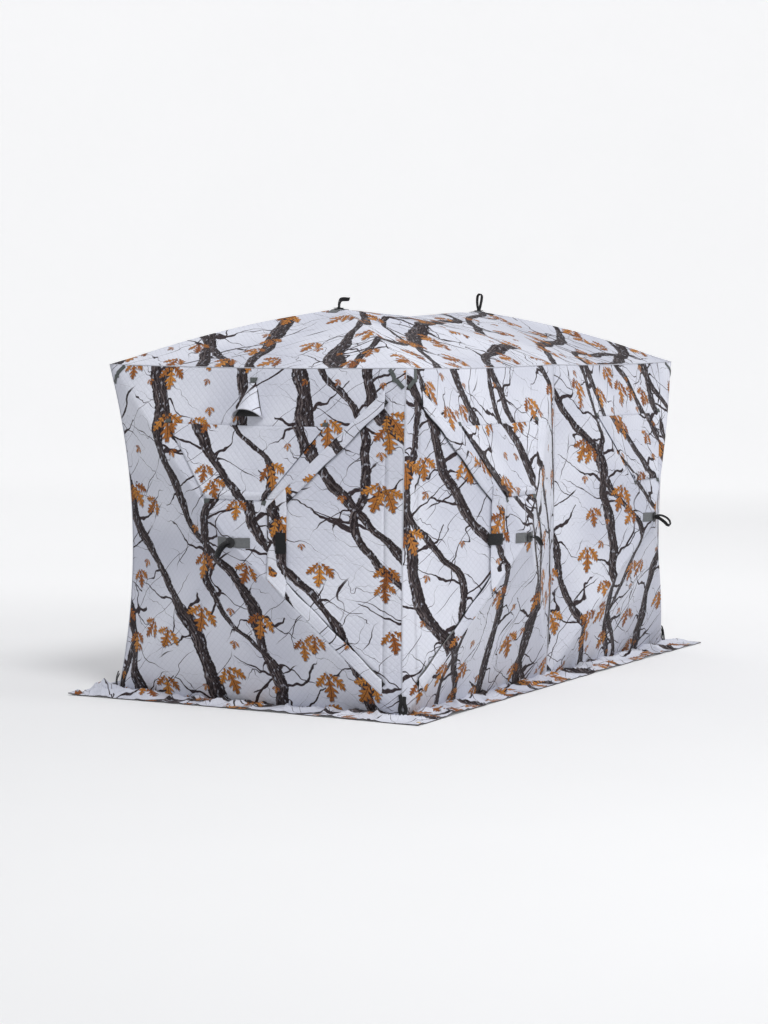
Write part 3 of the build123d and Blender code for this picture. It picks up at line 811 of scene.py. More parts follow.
def sweep(name, path, section, side, materials, closed=False):
    """A section of (side, rise) pairs carried along a path; side is the direction across it at the start."""
    path = np.asarray(path, float)
    count = len(path)
    before = np.roll(path, 1, axis=0)
    after = np.roll(path, -1, axis=0)
    if not closed:
        before[0] = path[0]
        after[-1] = path[-1]
    verts = []
    across = np.asarray(side, float)
    for k in range(count):
        along = unit(after[k] - before[k])
        across = unit(across - along * (across @ along))
        rise = np.cross(along, across)
        verts += [path[k] + across * s + rise * r for s, r in section]
    ring = len(section)
    faces = []
    for k in range(count if closed else count - 1):
        following = (k + 1) % count
        for j in range(ring):
            turn = (j + 1) % ring
            near, far = k * ring, following * ring
            faces.append((near + j, far + j, far + turn, near + turn))
    if not closed:
        faces.append(tuple(range(ring)))
        faces.append(tuple(range((count - 1) * ring, count * ring))[::-1])
    steps = np.linalg.norm(np.diff(path, axis=0), axis=1)
    lengths = np.concatenate([[0], np.cumsum(steps)])
    uvs = [(lengths[k], section[j][0]) for k in range(count) for j in range(ring)]
    return new_mesh(name, verts, faces, uvs, materials)


def strap_section(width, thickness):
    """A flat strap with rounded edges."""
    half, rise = width / 2, thickness / 2
    flat = half - thickness * 0.45
    return [(-flat, -rise), (flat, -rise), (half, 0), (flat, rise), (-flat, rise), (-half, 0)]


def round_section(radius, sides=12):
    angles = np.arange(sides) * 2 * math.pi / sides
    return [(radius * math.cos(a), radius * math.sin(a)) for a in angles]


def lathe(name, base, axis, profile, material, sides=32):
    """A turned piece: (radius, height) pairs from the base along the axis, with a flat face at each end."""
    axis = unit(axis)
    first = unit(np.cross(axis, [0.31, 0.87, 0.38]))
    second = np.cross(axis, first)
    verts = []
    for radius, height in profile:
        for turn in np.arange(sides) * 2 * math.pi / sides:
            outward = first * math.cos(turn) + second * math.sin(turn)
            verts.append(np.asarray(base) + axis * height + outward * radius)
    faces = grid_faces(len(profile), sides, closed=True)
    faces.append(tuple(range(sides))[::-1])
    faces.append(tuple(range((len(profile) - 1) * sides, len(profile) * sides)))
    return new_mesh(name, verts, faces, None, [material])


def ring_lathe(name, base, axis, profile, material, sides=32):
    """A turned ring: the profile closes on itself and never meets the axis."""
    thing = lathe(name, base, axis, list(profile) + [profile[0]], material, sides)
    mesh = bmesh.new()
    mesh.from_mesh(thing.data)
    caps = [face for face in mesh.faces if len(face.verts) > 4]
    bmesh.ops.delete(mesh, geom=caps, context="FACES_ONLY")
    bmesh.ops.remove_doubles(mesh, verts=mesh.verts, dist=1e-6)
    mesh.to_mesh(thing.data)
    mesh.free()
    return thing


def join(name, pieces):
    """One object from several meshes."""
    verts, faces, uvs, tags, materials = [], [], [], [], []
    for piece in pieces:
        mesh = piece.data
        base = len(verts)
        verts += [tuple(v.co) for v in mesh.vertices]
        layer = mesh.uv_layers.get("print")
        for polygon in mesh.polygons:
            faces.append(tuple(base + k for k in polygon.vertices))
            material = mesh.materials[polygon.material_index]
            if material not in materials:
                materials.append(material)
            tags.append(materials.index(material))
            uvs += [tuple(layer.data[k].uv) if layer else (0.0, 0.0) for k in polygon.loop_indices]
        bpy.data.objects.remove(piece)
    joined = new_mesh(name, verts, faces, None, materials, face_materials=tags)
    layer = joined.data.uv_layers.new(name="print")
    layer.data.foreach_set("uv", np.array(uvs, float).ravel())
    return joined


def bevel(thing, width, segments=2):
    edge = thing.modifiers.new("edge", "BEVEL")
    edge.width = width
    edge.segments = segments
    edge.limit_method = "ANGLE"
    edge.angle_limit = math.radians(40)
    return thing


def blend_on(panel, piece):
    """A piece on a panel's cloth, its placement baked into its mesh as the cloth's is."""
    points = np.array([v.co for v in piece.data.vertices])
    return panel.blend(piece, panel.cone_share(points))


# Plain materials


def webbing_material(name, dark, light):
    """Ribbed woven webbing."""
    n = Nodes(name)
    place = n.object_place()
    x, y, z = n.split(place)
    rib = n.math("SINE", n.mul(n.add(n.add(x, y), n.mul(z, 1.3)), 2300.0))
    cross = n.math("SINE", n.mul(n.add(n.sub(x, y), z), 1400.0))
    fuzz = n.noise(place, 60.0, 3.0, dimensions="3D")
    height = n.add(n.mul(rib, 0.5), n.add(n.mul(cross, 0.3), fuzz))
    n.set(Base_Color=n.mix(fuzz, dark, light), Roughness=0.72, Normal=n.bump(height, 0.0006, 0.8))
    n.set(Sheen_Weight=0.12, Specular_IOR_Level=0.25)
    return n.material


def plastic_material(name, dark, light, roughness, metallic=0.0, grain=900.0):
    """A hard, slightly worn surface, of plastic or metal."""
    n = Nodes(name)
    place = n.object_place()
    fine = n.noise(place, grain, 2.0, dimensions="3D")
    worn = n.noise(place, 22.0, 4.0, 0.6, dimensions="3D")
    colour = n.mix(n.ramp(worn, 0.35, 0.7), dark, light)
    rough = n.ramp(worn, 0.3, 0.8, roughness - 0.06, roughness + 0.1)
    height = n.add(fine, n.mul(worn, 0.3))
    n.set(Base_Color=colour, Roughness=rough, Normal=n.bump(height, 0.0004, 0.5), Metallic=metallic)
    return n.material


def film_material():
    """The clear, rippled film of a window."""
    n = Nodes("clear_film")
    place = n.object_place()
    ripple = n.noise(place, 9.0, 3.0, dimensions="3D")
    colour = n.mix(ripple, (0.80, 0.84, 0.86, 1), (0.90, 0.92, 0.93, 1))
    n.set(Base_Color=colour, Normal=n.bump(ripple, 0.004, 0.4))
    n.set(Roughness=0.12, Alpha=0.35, Specular_IOR_Level=0.6)
    return n.material


def screen_material():
    """Fine black insect screen."""
    n = Nodes("vent_screen")
    x, y, z = n.split(n.object_place())
    first = n.math("SINE", n.mul(n.add(y, x), 2600.0))
    second = n.math("SINE", n.mul(z, 2600.0))
    holes = n.ramp(n.mul(first, second), -0.4, 0.6)
    colour = n.mix(holes, (0.012, 0.012, 0.013, 1), (0.05, 0.05, 0.052, 1))
    n.set(Base_Color=colour, Roughness=0.8, Normal=n.bump(holes, 0.0004, 0.7))
    return n.material


BLACK_WEBBING = webbing_material("black_webbing", (0.004, 0.004, 0.0045, 1), (0.014, 0.014, 0.016, 1))
GREY_WEBBING = webbing_material("grey_webbing", (0.060, 0.068, 0.066, 1), (0.115, 0.128, 0.124, 1))
PATCH_CLOTH = webbing_material("patch_cloth", (0.115, 0.120, 0.125, 1), (0.190, 0.197, 0.205, 1))
PIPING = webbing_material("piping", (0.46, 0.47, 0.52, 1), (0.62, 0.63, 0.69, 1))
HEM_TAPE = webbing_material("hem_tape", (0.035, 0.028, 0.030, 1), (0.085, 0.072, 0.075, 1))
HUB_PLASTIC = plastic_material("hub_plastic", (0.008, 0.008, 0.009, 1), (0.022, 0.022, 0.024, 1), 0.42)
ROD_COLOURS = (0.055, 0.055, 0.060, 1), (0.10, 0.10, 0.105, 1)
POLE_ROD = plastic_material("pole_fibreglass", *ROD_COLOURS, 0.30, grain=400.0)
ZIP_BLACK = webbing_material("zip_tape", (0.010, 0.010, 0.011, 1), (0.030, 0.030, 0.032, 1))
STEEL = plastic_material("steel", (0.38, 0.38, 0.39, 1), (0.52, 0.52, 0.53, 1), 0.32, metallic=1.0)
BRASS = plastic_material("brass", (0.60, 0.40, 0.13, 1), (0.80, 0.62, 0.30, 1), 0.30, metallic=1.0)
FILM = film_material()
SCREEN = screen_material()


# Hubs, pull loops and poles

HUB_RADIUS = 0.046
HUB_THICKNESS = 0.014
HUB_DEPTH = 0.021
SLOT_HALF = 0.0042
SLOT_START = 0.020
LOOP_START = 0.006
LOOP_WEBBING = strap_section(0.025, 0.0024)
LOOP_SIGHT = (0.88, 0.47, 0.0)  # the loops hang more or less open along this line
# The places that each pull loop's middle line goes through from its hub, as distances out, to the right
# and up, and how far the loop opens
PULL_LOOPS = {
    "left_end": ([(0.020, -0.012, -0.004), (0.040, -0.036, -0.035), (0.052, -0.050, -0.078)], 0.010),
    "front_left": ([(0.012, 0.030, 0.002), (0.018, 0.070, -0.016), (0.020, 0.108, -0.050)], 0.004),
    "front_right": ([(0.030, 0.004, 0.000), (0.066, 0.012, -0.020), (0.090, 0.022, -0.050)], 0.017),
    "right_end": ([(0.026, 0.004, -0.004), (0.050, 0.010, -0.038), (0.054, 0.012, -0.086)], 0.008),
    "back_left": ([(0.024, -0.004, -0.002), (0.050, -0.010, -0.034), (0.060, -0.012, -0.078)], 0.010),
    "back_right": ([(0.028, 0.006, -0.004), (0.058, 0.010, -0.030), (0.074, 0.020, -0.066)], 0.007),
    "roof_left": ([(0.026, -0.004, -0.004), (0.048, 0.010, -0.012), (0.050, 0.052, -0.040)], 0.005),
    "roof_right": ([(0.034, 0.002, 0.000), (0.070, 0.004, -0.002), (0.104, 0.008, -0.004)], 0.016),
}
PIN_PROFILE = [(0.0022, -0.0105), (0.0042, -0.0098), (0.0042, -0.0085), (0.003, -0.008)]
PIN_PROFILE += [(radius, -height) for radius, height in PIN_PROFILE[::-1]]
STUD_PROFILE = [(0.012, -0.041), (0.0165, -0.038), (0.0165, -0.035), (0.009, -0.0348), (0.009, -0.002)]
WASHER_PROFILE = [(0.022, 0.0016), (0.0295, 0.0020), (0.030, 0.0042), (0.027, 0.0060), (0.013, 0.0066)]
WASHER_PROFILE += [(0.0085, 0.0092), (0.003, 0.0096)]
POLE_RADIUS = 0.0055
FERRULE_PROFILE = [(0.0050, 0.0150), (0.0070, 0.0158), (0.0076, 0.0180), (0.0076, 0.046), (0.0070, 0.049)]
FERRULE_PROFILE += [(0.0058, 0.0495)]
EYE_PROFILE = [(0.0031, -0.0036), (0.0058, -0.0036), (0.0068, -0.0028)]
EYE_PROFILE += [(radius, -height) for radius, height in EYE_PROFILE[::-1]]
CAP_PROFILE = [(0.0056, -0.016), (0.0066, -0.0155), (0.0068, -0.004), (0.0060, -0.001), (0.0040, 0.0)]
POLE_SHORT = 0.060  # a pole's tip stops this far short of its corner
POLE_INSIDE = 0.022  # and this far inside the cloth


def pull_loop(panel):
    """A webbing loop sewn on the hub, its two strands close together or opened."""
    line, opening = PULL_LOOPS[panel.name]
    base = panel.apex + panel.normal * LOOP_START
    places = [base] + [base + panel.normal * a + panel.right * b + panel.up * c for a, b, c in line]
    middle = smooth_path(places, 7)
    end = unit(middle[-1] - middle[0])
    square = unit(np.cross(end, LOOP_SIGHT))
    open_way = unit(square + 0.9 * np.cross(square, end))
    t = np.linspace(0, 1, len(middle))
    width = 0.0022 + opening * np.sin(math.pi * np.minimum(t * 0.62 + 0.05, 1)) ** 1.2
    width *= np.sqrt(np.clip((1.015 - t) / 0.16, 0, 1))
    apart = open_way * width[:, None]
    path = np.vstack([middle + apart, (middle - apart)[::-1]])
    return sweep("loop", path, LOOP_WEBBING, np.cross(end, open_way), [BLACK_WEBBING], closed=True)


def hub_plate(panel, directions):
    """The moulded plate: a disc with a slot for each pole, opened at its rim."""
    turned = sorted(math.atan2(d @ panel.up, d @ panel.right) for d in directions)
    gap = math.asin(SLOT_HALF / HUB_RADIUS)
    outline = []
    for k, angle in enumerate(turned):
        following = turned[(k + 1) % 4] + (2 * math.pi if k == 3 else 0)
        toward = np.array([math.cos(angle), math.sin(angle)])
        aside = np.array([-math.sin(angle), math.cos(angle)])
        for turn in np.linspace(-math.pi / 2, math.pi / 2, 7):
            inward = SLOT_START - SLOT_HALF * math.cos(turn)
            outline.append(toward * inward + aside * SLOT_HALF * math.sin(turn))
        for turn in np.linspace(angle + gap, following - gap, 9):
            outline.append(np.array([math.cos(turn), math.sin(turn)]) * HUB_RADIUS)
    verts = []
    for depth in (HUB_DEPTH + HUB_THICKNESS, HUB_DEPTH):
        verts += [panel.apex + panel.right * x + panel.up * y - panel.normal * depth for x, y in outline]
    count = len(outline)
    faces = [(k, (k + 1) % count, (k + 1) % count + count, k + count) for k in range(count)]
    faces += [tuple(range(count))[::-1], tuple(range(count, 2 * count))]
    if np.cross(panel.right, panel.up) @ panel.normal < 0:
        faces = [face[::-1] for face in faces]
    return new_mesh("plate", verts, faces, None, [HUB_PLASTIC], smooth_faces=False)


def build_hub(panel):
    """The plate with its four pins, the stud through the cloth, the washer on it, and the pull loop."""
    pins = [np.array(j["pos_m"]) for j in frame["joints"] if j["parent"] == panel.hub]
    centre = panel.apex - panel.normal * PIN_DEPTH
    directions = [unit(pin - centre) for pin in pins]
    pieces = [hub_plate(panel, directions)]
    for direction, pin in zip(directions, pins):
        pieces.append(lathe("pin", pin, np.cross(direction, panel.normal), PIN_PROFILE, STEEL, 16))
    pieces.append(lathe("stud", panel.apex, panel.normal, STUD_PROFILE, HUB_PLASTIC, 24))
    pieces.append(lathe("washer", panel.apex, panel.normal, WASHER_PROFILE, HUB_PLASTIC, 32))
    plate = bevel(join(panel.hub + "_plate", pieces), 0.0009)
    loop = pull_loop(panel)
    loop.name = f"{panel.name}_pull_loop"
    for piece, slot in ((plate, "hub_plastic"), (loop, "black_webbing")):
        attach(piece, panel.hub)
    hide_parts(panel.hub)


def corner_along(panel, toward):
    """The corner of a panel that lies nearest to a direction from its hub."""

    def miss(corner):
        way = corner - panel.apex
        return np.linalg.norm(unit(way - panel.normal * (way @ panel.normal)) - toward)

    return min(panel.corners, key=miss)


def build_pole(panel, joint):
    """A bowed fibreglass rod between its eye on the hub's pin and its cap near the corner."""
    body = joint["child"]
    pin = np.array(joint["pos_m"])
    toward = unit(pin - (panel.apex - panel.normal * PIN_DEPTH))
    tip = corner_along(panel, toward) - toward * POLE_SHORT - panel.normal * POLE_INSIDE
    axis = np.cross(toward, panel.normal)
    t = np.linspace(0, 1, 33)[:, None]
    line = pin + (tip - pin) * t + panel.normal * (4 * t * (1 - t) * panel.bow * 0.82)
    along = unit(line[1] - line[0])
    rod = sweep("rod", line[1:], round_section(POLE_RADIUS), axis, [POLE_ROD])
    ferrule = lathe("ferrule", pin, along, FERRULE_PROFILE, STEEL, 24)
    ring = ring_lathe("eye", pin, axis, EYE_PROFILE, STEEL, 24)
    neck = [pin + along * distance for distance in (0.0055, 0.012, 0.020)]
    tongue = sweep("tongue", neck, strap_section(0.0072, 0.0092), axis, [STEEL])
    cap = lathe("cap", tip, unit(line[-1] - line[-2]), CAP_PROFILE, HUB_PLASTIC, 20)
    pole = join(f"{body}_rod", [rod, ferrule, ring, tongue, cap])
    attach(pole, body)
    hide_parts(body)


def build_hub_patch(panel):
    """The gathered patch that takes the pull loop's strain at a hub."""
    width, height = (0.15, 0.06) if panel.roof else (0.215, 0.055)
    x, y = np.meshgrid(np.linspace(-1, 1, 41), np.linspace(-1, 1, 11))
    pinch = 1 - 0.30 * np.exp(-((x / 0.16) ** 2))
    gathers = 0.0016 * np.sin(x * 24 + 1.3 * y) * np.exp(-np.abs(x) * 2.2) * (1 - 0.3 * y)
    points = on_panel(panel, x * width / 2, y * height / 2 * pinch, 0.0035 + gathers)
    patch = cloth_patch(f"{panel.name}_hub_patch", panel, points, [PATCH_CLOTH], thickness=0.0016)
    blend_on(panel, patch)


for panel in PANELS.values():
    build_hub(panel)
    build_hub_patch(panel)
    for joint in frame["joints"]:
        if joint["parent"] == panel.hub and "_pole_" in joint["child"]:
            build_pole(panel, joint)


# Windows

FLAP_SHARES = (0.246, 0.668)  # a window's cover, a little wider than its window all round
FLAP_HALF = 0.790
FLAP_LIFT = 0.0035
FOLD_WIDTH = 0.045  # of the band that its lower edge is folded into
FLAP_BEND = 0.050  # the cover is sewn on at its lower edge; a bend over this much of its height is worked out but not used
SEWN_LIFT = 0.0026  # of the cover's middle at its sewn edge
BAND_LIFT = 0.0046  # of the folded band there
FILM_DEPTH = 0.0065
CATCH_WIDTH = 0.034
CATCH_HEIGHT = 0.022
CATCH_SHIFT = 0.012  # past the cover's corner, up or down
WINDOW_PRINTS = {
    "left_end": (1.37, 0.55), "right_end": (2.2, 0.9), "front_left": (0.83, 1.7), "front_right": (1.9, 2.6),
}


def gore_grid(panel, gore, low, high, half, rows, columns):
    """A grid over a gore between two shares: x and y in its plane, and the part of its half width."""
    gore_half, reach = panel.gore_size(gore)
    steps = np.linspace(low, high, rows), np.linspace(-half, half, columns)
    share, across = np.meshgrid(*steps, indexing="ij")
    return across * gore_half * share, share * reach, across


def build_cover(panel):
    """The cloth cover, sewn on at its lower edge, which is folded up into a stiff band."""
    body = f"{panel.name}_window_flap"
    half, reach = panel.gore_size(0)
    low, high = FLAP_SHARES
    x, y, across = gore_grid(panel, 0, low, high, FLAP_HALF, 30, 49)
    from_hinge = y - low * reach
    risen = smooth(from_hinge / 0.030)
    near_fold = smooth(1 - from_hinge / (1.4 * FOLD_WIDTH)) * risen
    edge = smooth((np.abs(across) / FLAP_HALF - 0.86) / 0.14)
    ripple = 0.0016 * np.sin(x * 13 + y * 9 + len(panel.name)) * smooth((high * reach - y) / 0.10)
    lift = SEWN_LIFT + (FLAP_LIFT + 0.007 * near_fold + 0.0018 * edge + ripple) * risen
    front = on_gore(panel, 0, x, y, lift)
    turned = smooth(from_hinge / FLAP_BEND)

    x, y, _ = gore_grid(panel, 0, low, low + FOLD_WIDTH / reach, FLAP_HALF * 0.985, 7, 49)
    from_hinge = y - low * reach
    part = from_hinge / FOLD_WIDTH
    bulge = FLAP_LIFT + 0.0050 + 0.0055 * np.sin(math.pi * part) + 0.0015 * np.sin(x * 11)
    band = on_gore(panel, 0, x, y, BAND_LIFT + bulge * smooth(part * 1.5))
    turned = np.concatenate([smooth(from_hinge / FLAP_BEND)[::-1], turned])

    points = np.concatenate([band[::-1], front])
    flap = cloth_patch(f"{body}_cloth", panel, points, [CAMO], WINDOW_PRINTS[panel.name], 0.0022)
    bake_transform(flap)
    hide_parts(body)


def build_catches(panel):
    """The four webbing pads on the cloth that hold the corners of a window's cover."""
    half, reach = panel.gore_size(0)
    px, py = np.meshgrid(np.linspace(-0.5, 0.5, 7), np.linspace(-0.5, 0.5, 5))
    pads = []
    for side in (-1, 1):
        for level, shift in zip(FLAP_SHARES[::-1], (CATCH_SHIFT, -CATCH_SHIFT)):
            x = side * FLAP_HALF * half * level + px * CATCH_WIDTH
            spot = on_gore(panel, 0, x, level * reach + shift + py * CATCH_HEIGHT, 0.0016)
            pads.append(cloth_patch("catch", panel, spot, [GREY_WEBBING]))
    catches = thicken(join(f"{panel.name}_window_catches", pads), 0.0014, 1.0)
    blend_on(panel, catches)


def build_pane(panel):
    """The clear film inside the window."""
    x, y, _ = gore_grid(panel, 0, *FLAP_SHARES, FLAP_HALF, 24, 33)
    slack = 0.0022 * np.sin(x * 9 + 1.3) * np.sin(y * 17)
    points = on_gore(panel, 0, x, y, slack - FILM_DEPTH)
    pane = cloth_patch(f"{panel.name}_window_film", panel, points, [FILM], thickness=0.0006)
    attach(pane, f"{panel.name}_window_pane")
    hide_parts(f"{panel.name}_window_pane")


# Doors

BAND_WIDTH = 0.066  # of the storm flap over the zip
BAND_EDGE = 0.006  # from the ridge to the sewn edge of the storm flap
BAND_FROM_TIP = 0.012  # from a doorway's tip to where its storm flap begins
LEAF_GAP = 0.004  # between the zip and the door leaf
TAPE_DEPTH = 0.0012
DOOR_PRINTS = {"end_door": (0.45, 1.31), "front_door": (2.13, 0.74)}
TIP_BAND = (0.232, 0.338)  # the shares that the storm flap's tip covers
TAB_SHARE = 0.305  # where the tab's middle is
DOOR_TABS = {"end_door": (0.060, 0.112), "front_door": (0.110, 0.062)}


def ridge_x(panel, y, side, inset):
    """The place across gore 3 of a line inset from the ridge on one side, y out from the hub."""
    half, reach = panel.gore_size(3)
    slant = math.hypot(half, reach) / reach
    return side * (half * y / reach - inset * slant)


def build_leaf(name, panel, tip, hinge):
    """The door's own cloth, which turns about the hinge at its foot."""
    leaf_inset = ZIP_INSET + ZIP_BAND + LEAF_GAP
    start = tip + ZIP_BAND + LEAF_GAP
    y = np.linspace(start, hinge + 0.0015, 34)[:, None]
    part = np.linspace(-1, 1, 61)[None]
    x = part * ridge_x(panel, y, 1, leaf_inset)
    y = np.broadcast_to(y, x.shape)
    puff = 0.0028 * np.cos(part * math.pi / 2) * np.sin(math.pi * (y - start) / (hinge - start))
    leaf = cloth_patch(f"{name}_leaf", panel, on_gore(panel, 3, x, y, puff), [CAMO, LINING], (0, 0), 0.003, 1)
    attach(leaf, f"{name}_flap")
    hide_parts(f"{name}_flap")
    widest = ridge_x(panel, hinge, 1, leaf_inset)
    narrowest = ridge_x(panel, start, 1, leaf_inset)


def build_storm_flaps(name, panel, tip, hinge):
    """The flap over the zip in three parts, sewn along the ridges and free along its inner edge."""
    half, reach = panel.gore_size(3)
    slant = math.hypot(half, reach) / reach
    bands = []
    for side, label in ((-1, "first"), (1, "last")):
        y = np.linspace(tip + BAND_FROM_TIP, hinge, 60)[:, None]
        t = np.linspace(0, 1, 9)[None]
        wave = 0.003 * np.sin(y * 31 + side) * t
        x = ridge_x(panel, y, side, BAND_EDGE + (BAND_WIDTH + wave) * t)
        y, t = np.broadcast_arrays(y, t)
        lift = 0.0022 + 0.0085 * smooth(t * 1.15) + 0.0012 * np.sin(y * 43 + 2 * side) * t
        area = BAND_WIDTH * (hinge - tip) * slant
        bands.append((label, side, on_gore(panel, 3, x, y, lift), BAND_WIDTH, (hinge - tip) * slant, area))
    low, high = TIP_BAND
    y = np.linspace(low * reach - 0.010, high * reach, 9)[:, None]
    x = np.linspace(-1, 1, 41)[None] * ridge_x(panel, y, 1, BAND_EDGE + 0.004)
    y = np.broadcast_to(y, x.shape)
    part = (y - y.min()) / (y.max() - y.min())
    lift = 0.0062 + 0.0075 * smooth(part) + 0.001 * np.sin(x * 60) * part
    width, length = (high - low) * reach + 0.010, 2 * ridge_x(panel, high * reach, 1, BAND_EDGE)
    bands.append(("tip", 0, on_gore(panel, 3, x, y, lift), width, length, 0.86 * width * length))
    for label, side, points, width, length, area in bands:
        offset = np.array(DOOR_PRINTS[name]) + np.array([0.31 * side + 0.17, 0.23 + 0.11 * side])
        band = cloth_patch(f"{name}_storm_flap_{label}", panel, points, [CAMO, LINING], offset, 0.002, 1)
        blend_on(panel, band)


def zip_run(path, normal):
    """A straight run of zip: its tape and its coil."""
    side = np.cross(unit(path[-1] - path[0]), normal)
    tape = sweep("tape", path, strap_section(ZIP_BAND * 0.96, 0.0016), side, [ZIP_BLACK])
    fine = smooth_path(path, 6)
    coil = sweep("coil", fine - normal * 0.0022, round_section(0.0028, 8), side, [HUB_PLASTIC])
    return [tape, coil]


def build_zip(name, panel, tip, hinge):
    """The zip down both sides of a doorway and across its tip."""
    pieces = []
    start, inset = tip + 0.026, ZIP_INSET + ZIP_BAND / 2
    for side in (-1, 1):
        y = np.linspace(start, hinge, 40)
        pieces += zip_run(on_gore(panel, 3, ridge_x(panel, y, side, inset), y, -TAPE_DEPTH), panel.normal)
    x = np.linspace(-1, 1, 14) * ridge_x(panel, start, 1, inset)
    pieces += zip_run(on_gore(panel, 3, x, tip + 0.023, -TAPE_DEPTH), panel.normal)
    zipper = join(f"{name}_zip_tape", pieces)
    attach(zipper, f"{name}_zip")
    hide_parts(f"{name}_zip")


def build_tab(name, panel):
    """The black tab that the two sliders are parked under."""
    wide, tall = DOOR_TABS[name]
    across, out = np.meshgrid(np.linspace(-0.5, 0.5, 15), np.linspace(0, 1, 9))
    y = TAB_SHARE * panel.gore_size(3)[1] + (out - 0.5) * wide
    points = on_gore(panel, 3, across * tall, y, 0.0165 + 0.0018 * np.sin(out * math.pi))
    tab = cloth_patch(f"{name}_tab", panel, points, [BLACK_WEBBING], thickness=0.0026)
    bevel(tab, 0.0008)
    blend_on(panel, tab)


for name in WINDOW_PANELS:
    build_cover(PANELS[name])
    build_catches(PANELS[name])
    build_pane(PANELS[name])
for panel_name, name in DOOR_PANELS.items():
    panel = PANELS[panel_name]
    tip, hinge = (share * panel.gore_size(3)[1] for share in (DOOR_TIP, DOOR_HINGE))
    build_leaf(name, panel, tip, hinge)
    build_storm_flaps(name, panel, tip, hinge)
    build_zip(name, panel, tip, hinge)
    build_tab(name, panel)


# Vent hoods, high on the end walls

HOOD_MOUTH = 0.725  # shares of the way from the hub to the eave
HOOD_TOP = 0.93
HOOD_HALF = 0.094
HOOD_TOP_HALF = 0.016
HOOD_RISE = 0.064
HOOD_PRINT = (0.9, 1.7)


def build_vent_hood(panel):
    """The half round hood with its rim, the screen over the opening, and the patch at the hood's top."""
    reach = panel.gore_size(0)[1]
    mouth, top = HOOD_MOUTH * reach, HOOD_TOP * reach
    t = np.linspace(0, 1, 25)[:, None]
    turn = np.linspace(0, math.pi, 33)[None]
    width = HOOD_HALF + (HOOD_TOP_HALF - HOOD_HALF) * t**0.82
    rise = HOOD_RISE * (1 - t) ** 0.9 + 0.006
    x = width * np.cos(turn)
    arch = 0.052 * (1 - t) ** 3 * np.sin(turn) ** 1.3
    y = mouth - 0.012 + (top - mouth) * t + arch
    lift = 0.0015 + rise * np.sin(turn) ** 0.85 * (1 - 0.06 * np.sin(3 * turn) * (1 - t))
    points = on_gore(panel, 0, x, y, lift)
    hood = cloth_patch(f"{panel.name}_vent_hood", panel, points, [CAMO, LINING], HOOD_PRINT, 0.0022, 1)
    blend_on(panel, hood)
    if panel.name == "left_end":
        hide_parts("vent_hoods")
    rim = sweep(f"{panel.name}_vent_rim", points[0], strap_section(0.0060, 0.0052), panel.up, [PIPING])
    blend_on(panel, rim)
    across, up = np.meshgrid(np.linspace(-1, 1, 21), np.linspace(0, 1, 13))
    wide = HOOD_HALF * 0.93 * (1 - 0.62 * up)
    spot = on_gore(panel, 0, across * wide, mouth - 0.004 + up * 0.15, 0.0012)
    screen = cloth_patch(f"{panel.name}_vent_screen", panel, spot, [SCREEN], thickness=0.0008)
    screen.modifiers["thickness"].offset = 1.0
    blend_on(panel, screen)
    across, up = np.meshgrid(np.linspace(-1, 1, 9), np.linspace(-1, 1, 7))
    spot = on_gore(panel, 0, across * 0.020 * (1 + 0.25 * up), top + up * 0.015, 0.0090 - 0.002 * up)
    patch = cloth_patch(f"{panel.name}_vent_top_patch", panel, spot, [GREY_WEBBING], thickness=0.0014)
    blend_on(panel, patch)


for name in ("left_end", "right_end"):
    build_vent_hood(PANELS[name])


# Seams, corner straps, skirt and eyelets


def build_seams():
    """Piping where two panels of cloth are sewn together."""
    seams = [(name, gore) for name in ("left_end", "right_end") for gore in range(4)]
    long_sides = ("front_left", "front_right", "back_left", "back_right")
    seams += [(name, gore) for name in long_sides for gore in (0, 2)]
    seams += [("front_left", 1), ("back_left", 1), ("roof_left", 1)]
    runs = [PANELS[name].edge(gore, np.linspace(0, 1, 49)) for name, gore in seams]
    pieces = [sweep("piping", run, round_section(0.0026, 8), (0.3, 0.5, 0.81), [PIPING]) for run in runs]
    piping = join("seam_piping", pieces)
    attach(piping, "root")


EAVE_REACH = 0.088  # how far a strap of the V reaches from its corner, along the eave and down
EAVE_STRAP_WIDTH = 0.022
STRAP_TOP = 0.122
STRAP_ASIDE = 0.0125  # each ground strap's middle from its corner
# A ground strap's middle line: how far out, how much of its swing aside, and how high. Where it hangs,
# the height is a part of its top; where it lies, metres.
HANGING = [(-0.004, 0, 1.0), (0.008, 1, 0.72), (0.011, -1, 0.38)]
LYING = [(0.016, 0.5, 0.022), (0.030, 0, 0.0085), (0.052, 0, 0.0070)]


def build_eave_strap(panel, corner, inward, label):
    """One leg of the V of webbing over a corner at the eave."""
    high = corner + inward * (EAVE_REACH + 0.010) - np.array([0, 0, 0.006])
    low = corner + inward * 0.014 - np.array([0, 0, EAVE_REACH + 0.014])
    along = np.linspace(-0.02, 1.02, 25)[:, None, None]
    across = np.linspace(-0.5, 0.5, 7)[None, :, None] * EAVE_STRAP_WIDTH
    spread = unit(np.cross(high - low, panel.normal))
    spots = low + (high - low) * along + spread * across - panel.apex
    points = on_panel(panel, spots @ panel.right, spots @ panel.up, 0.0042)
    strap = cloth_patch(f"{panel.name}_eave_strap_{label}", panel, points, [GREY_WEBBING], thickness=0.0024)
    blend_on(panel, strap)


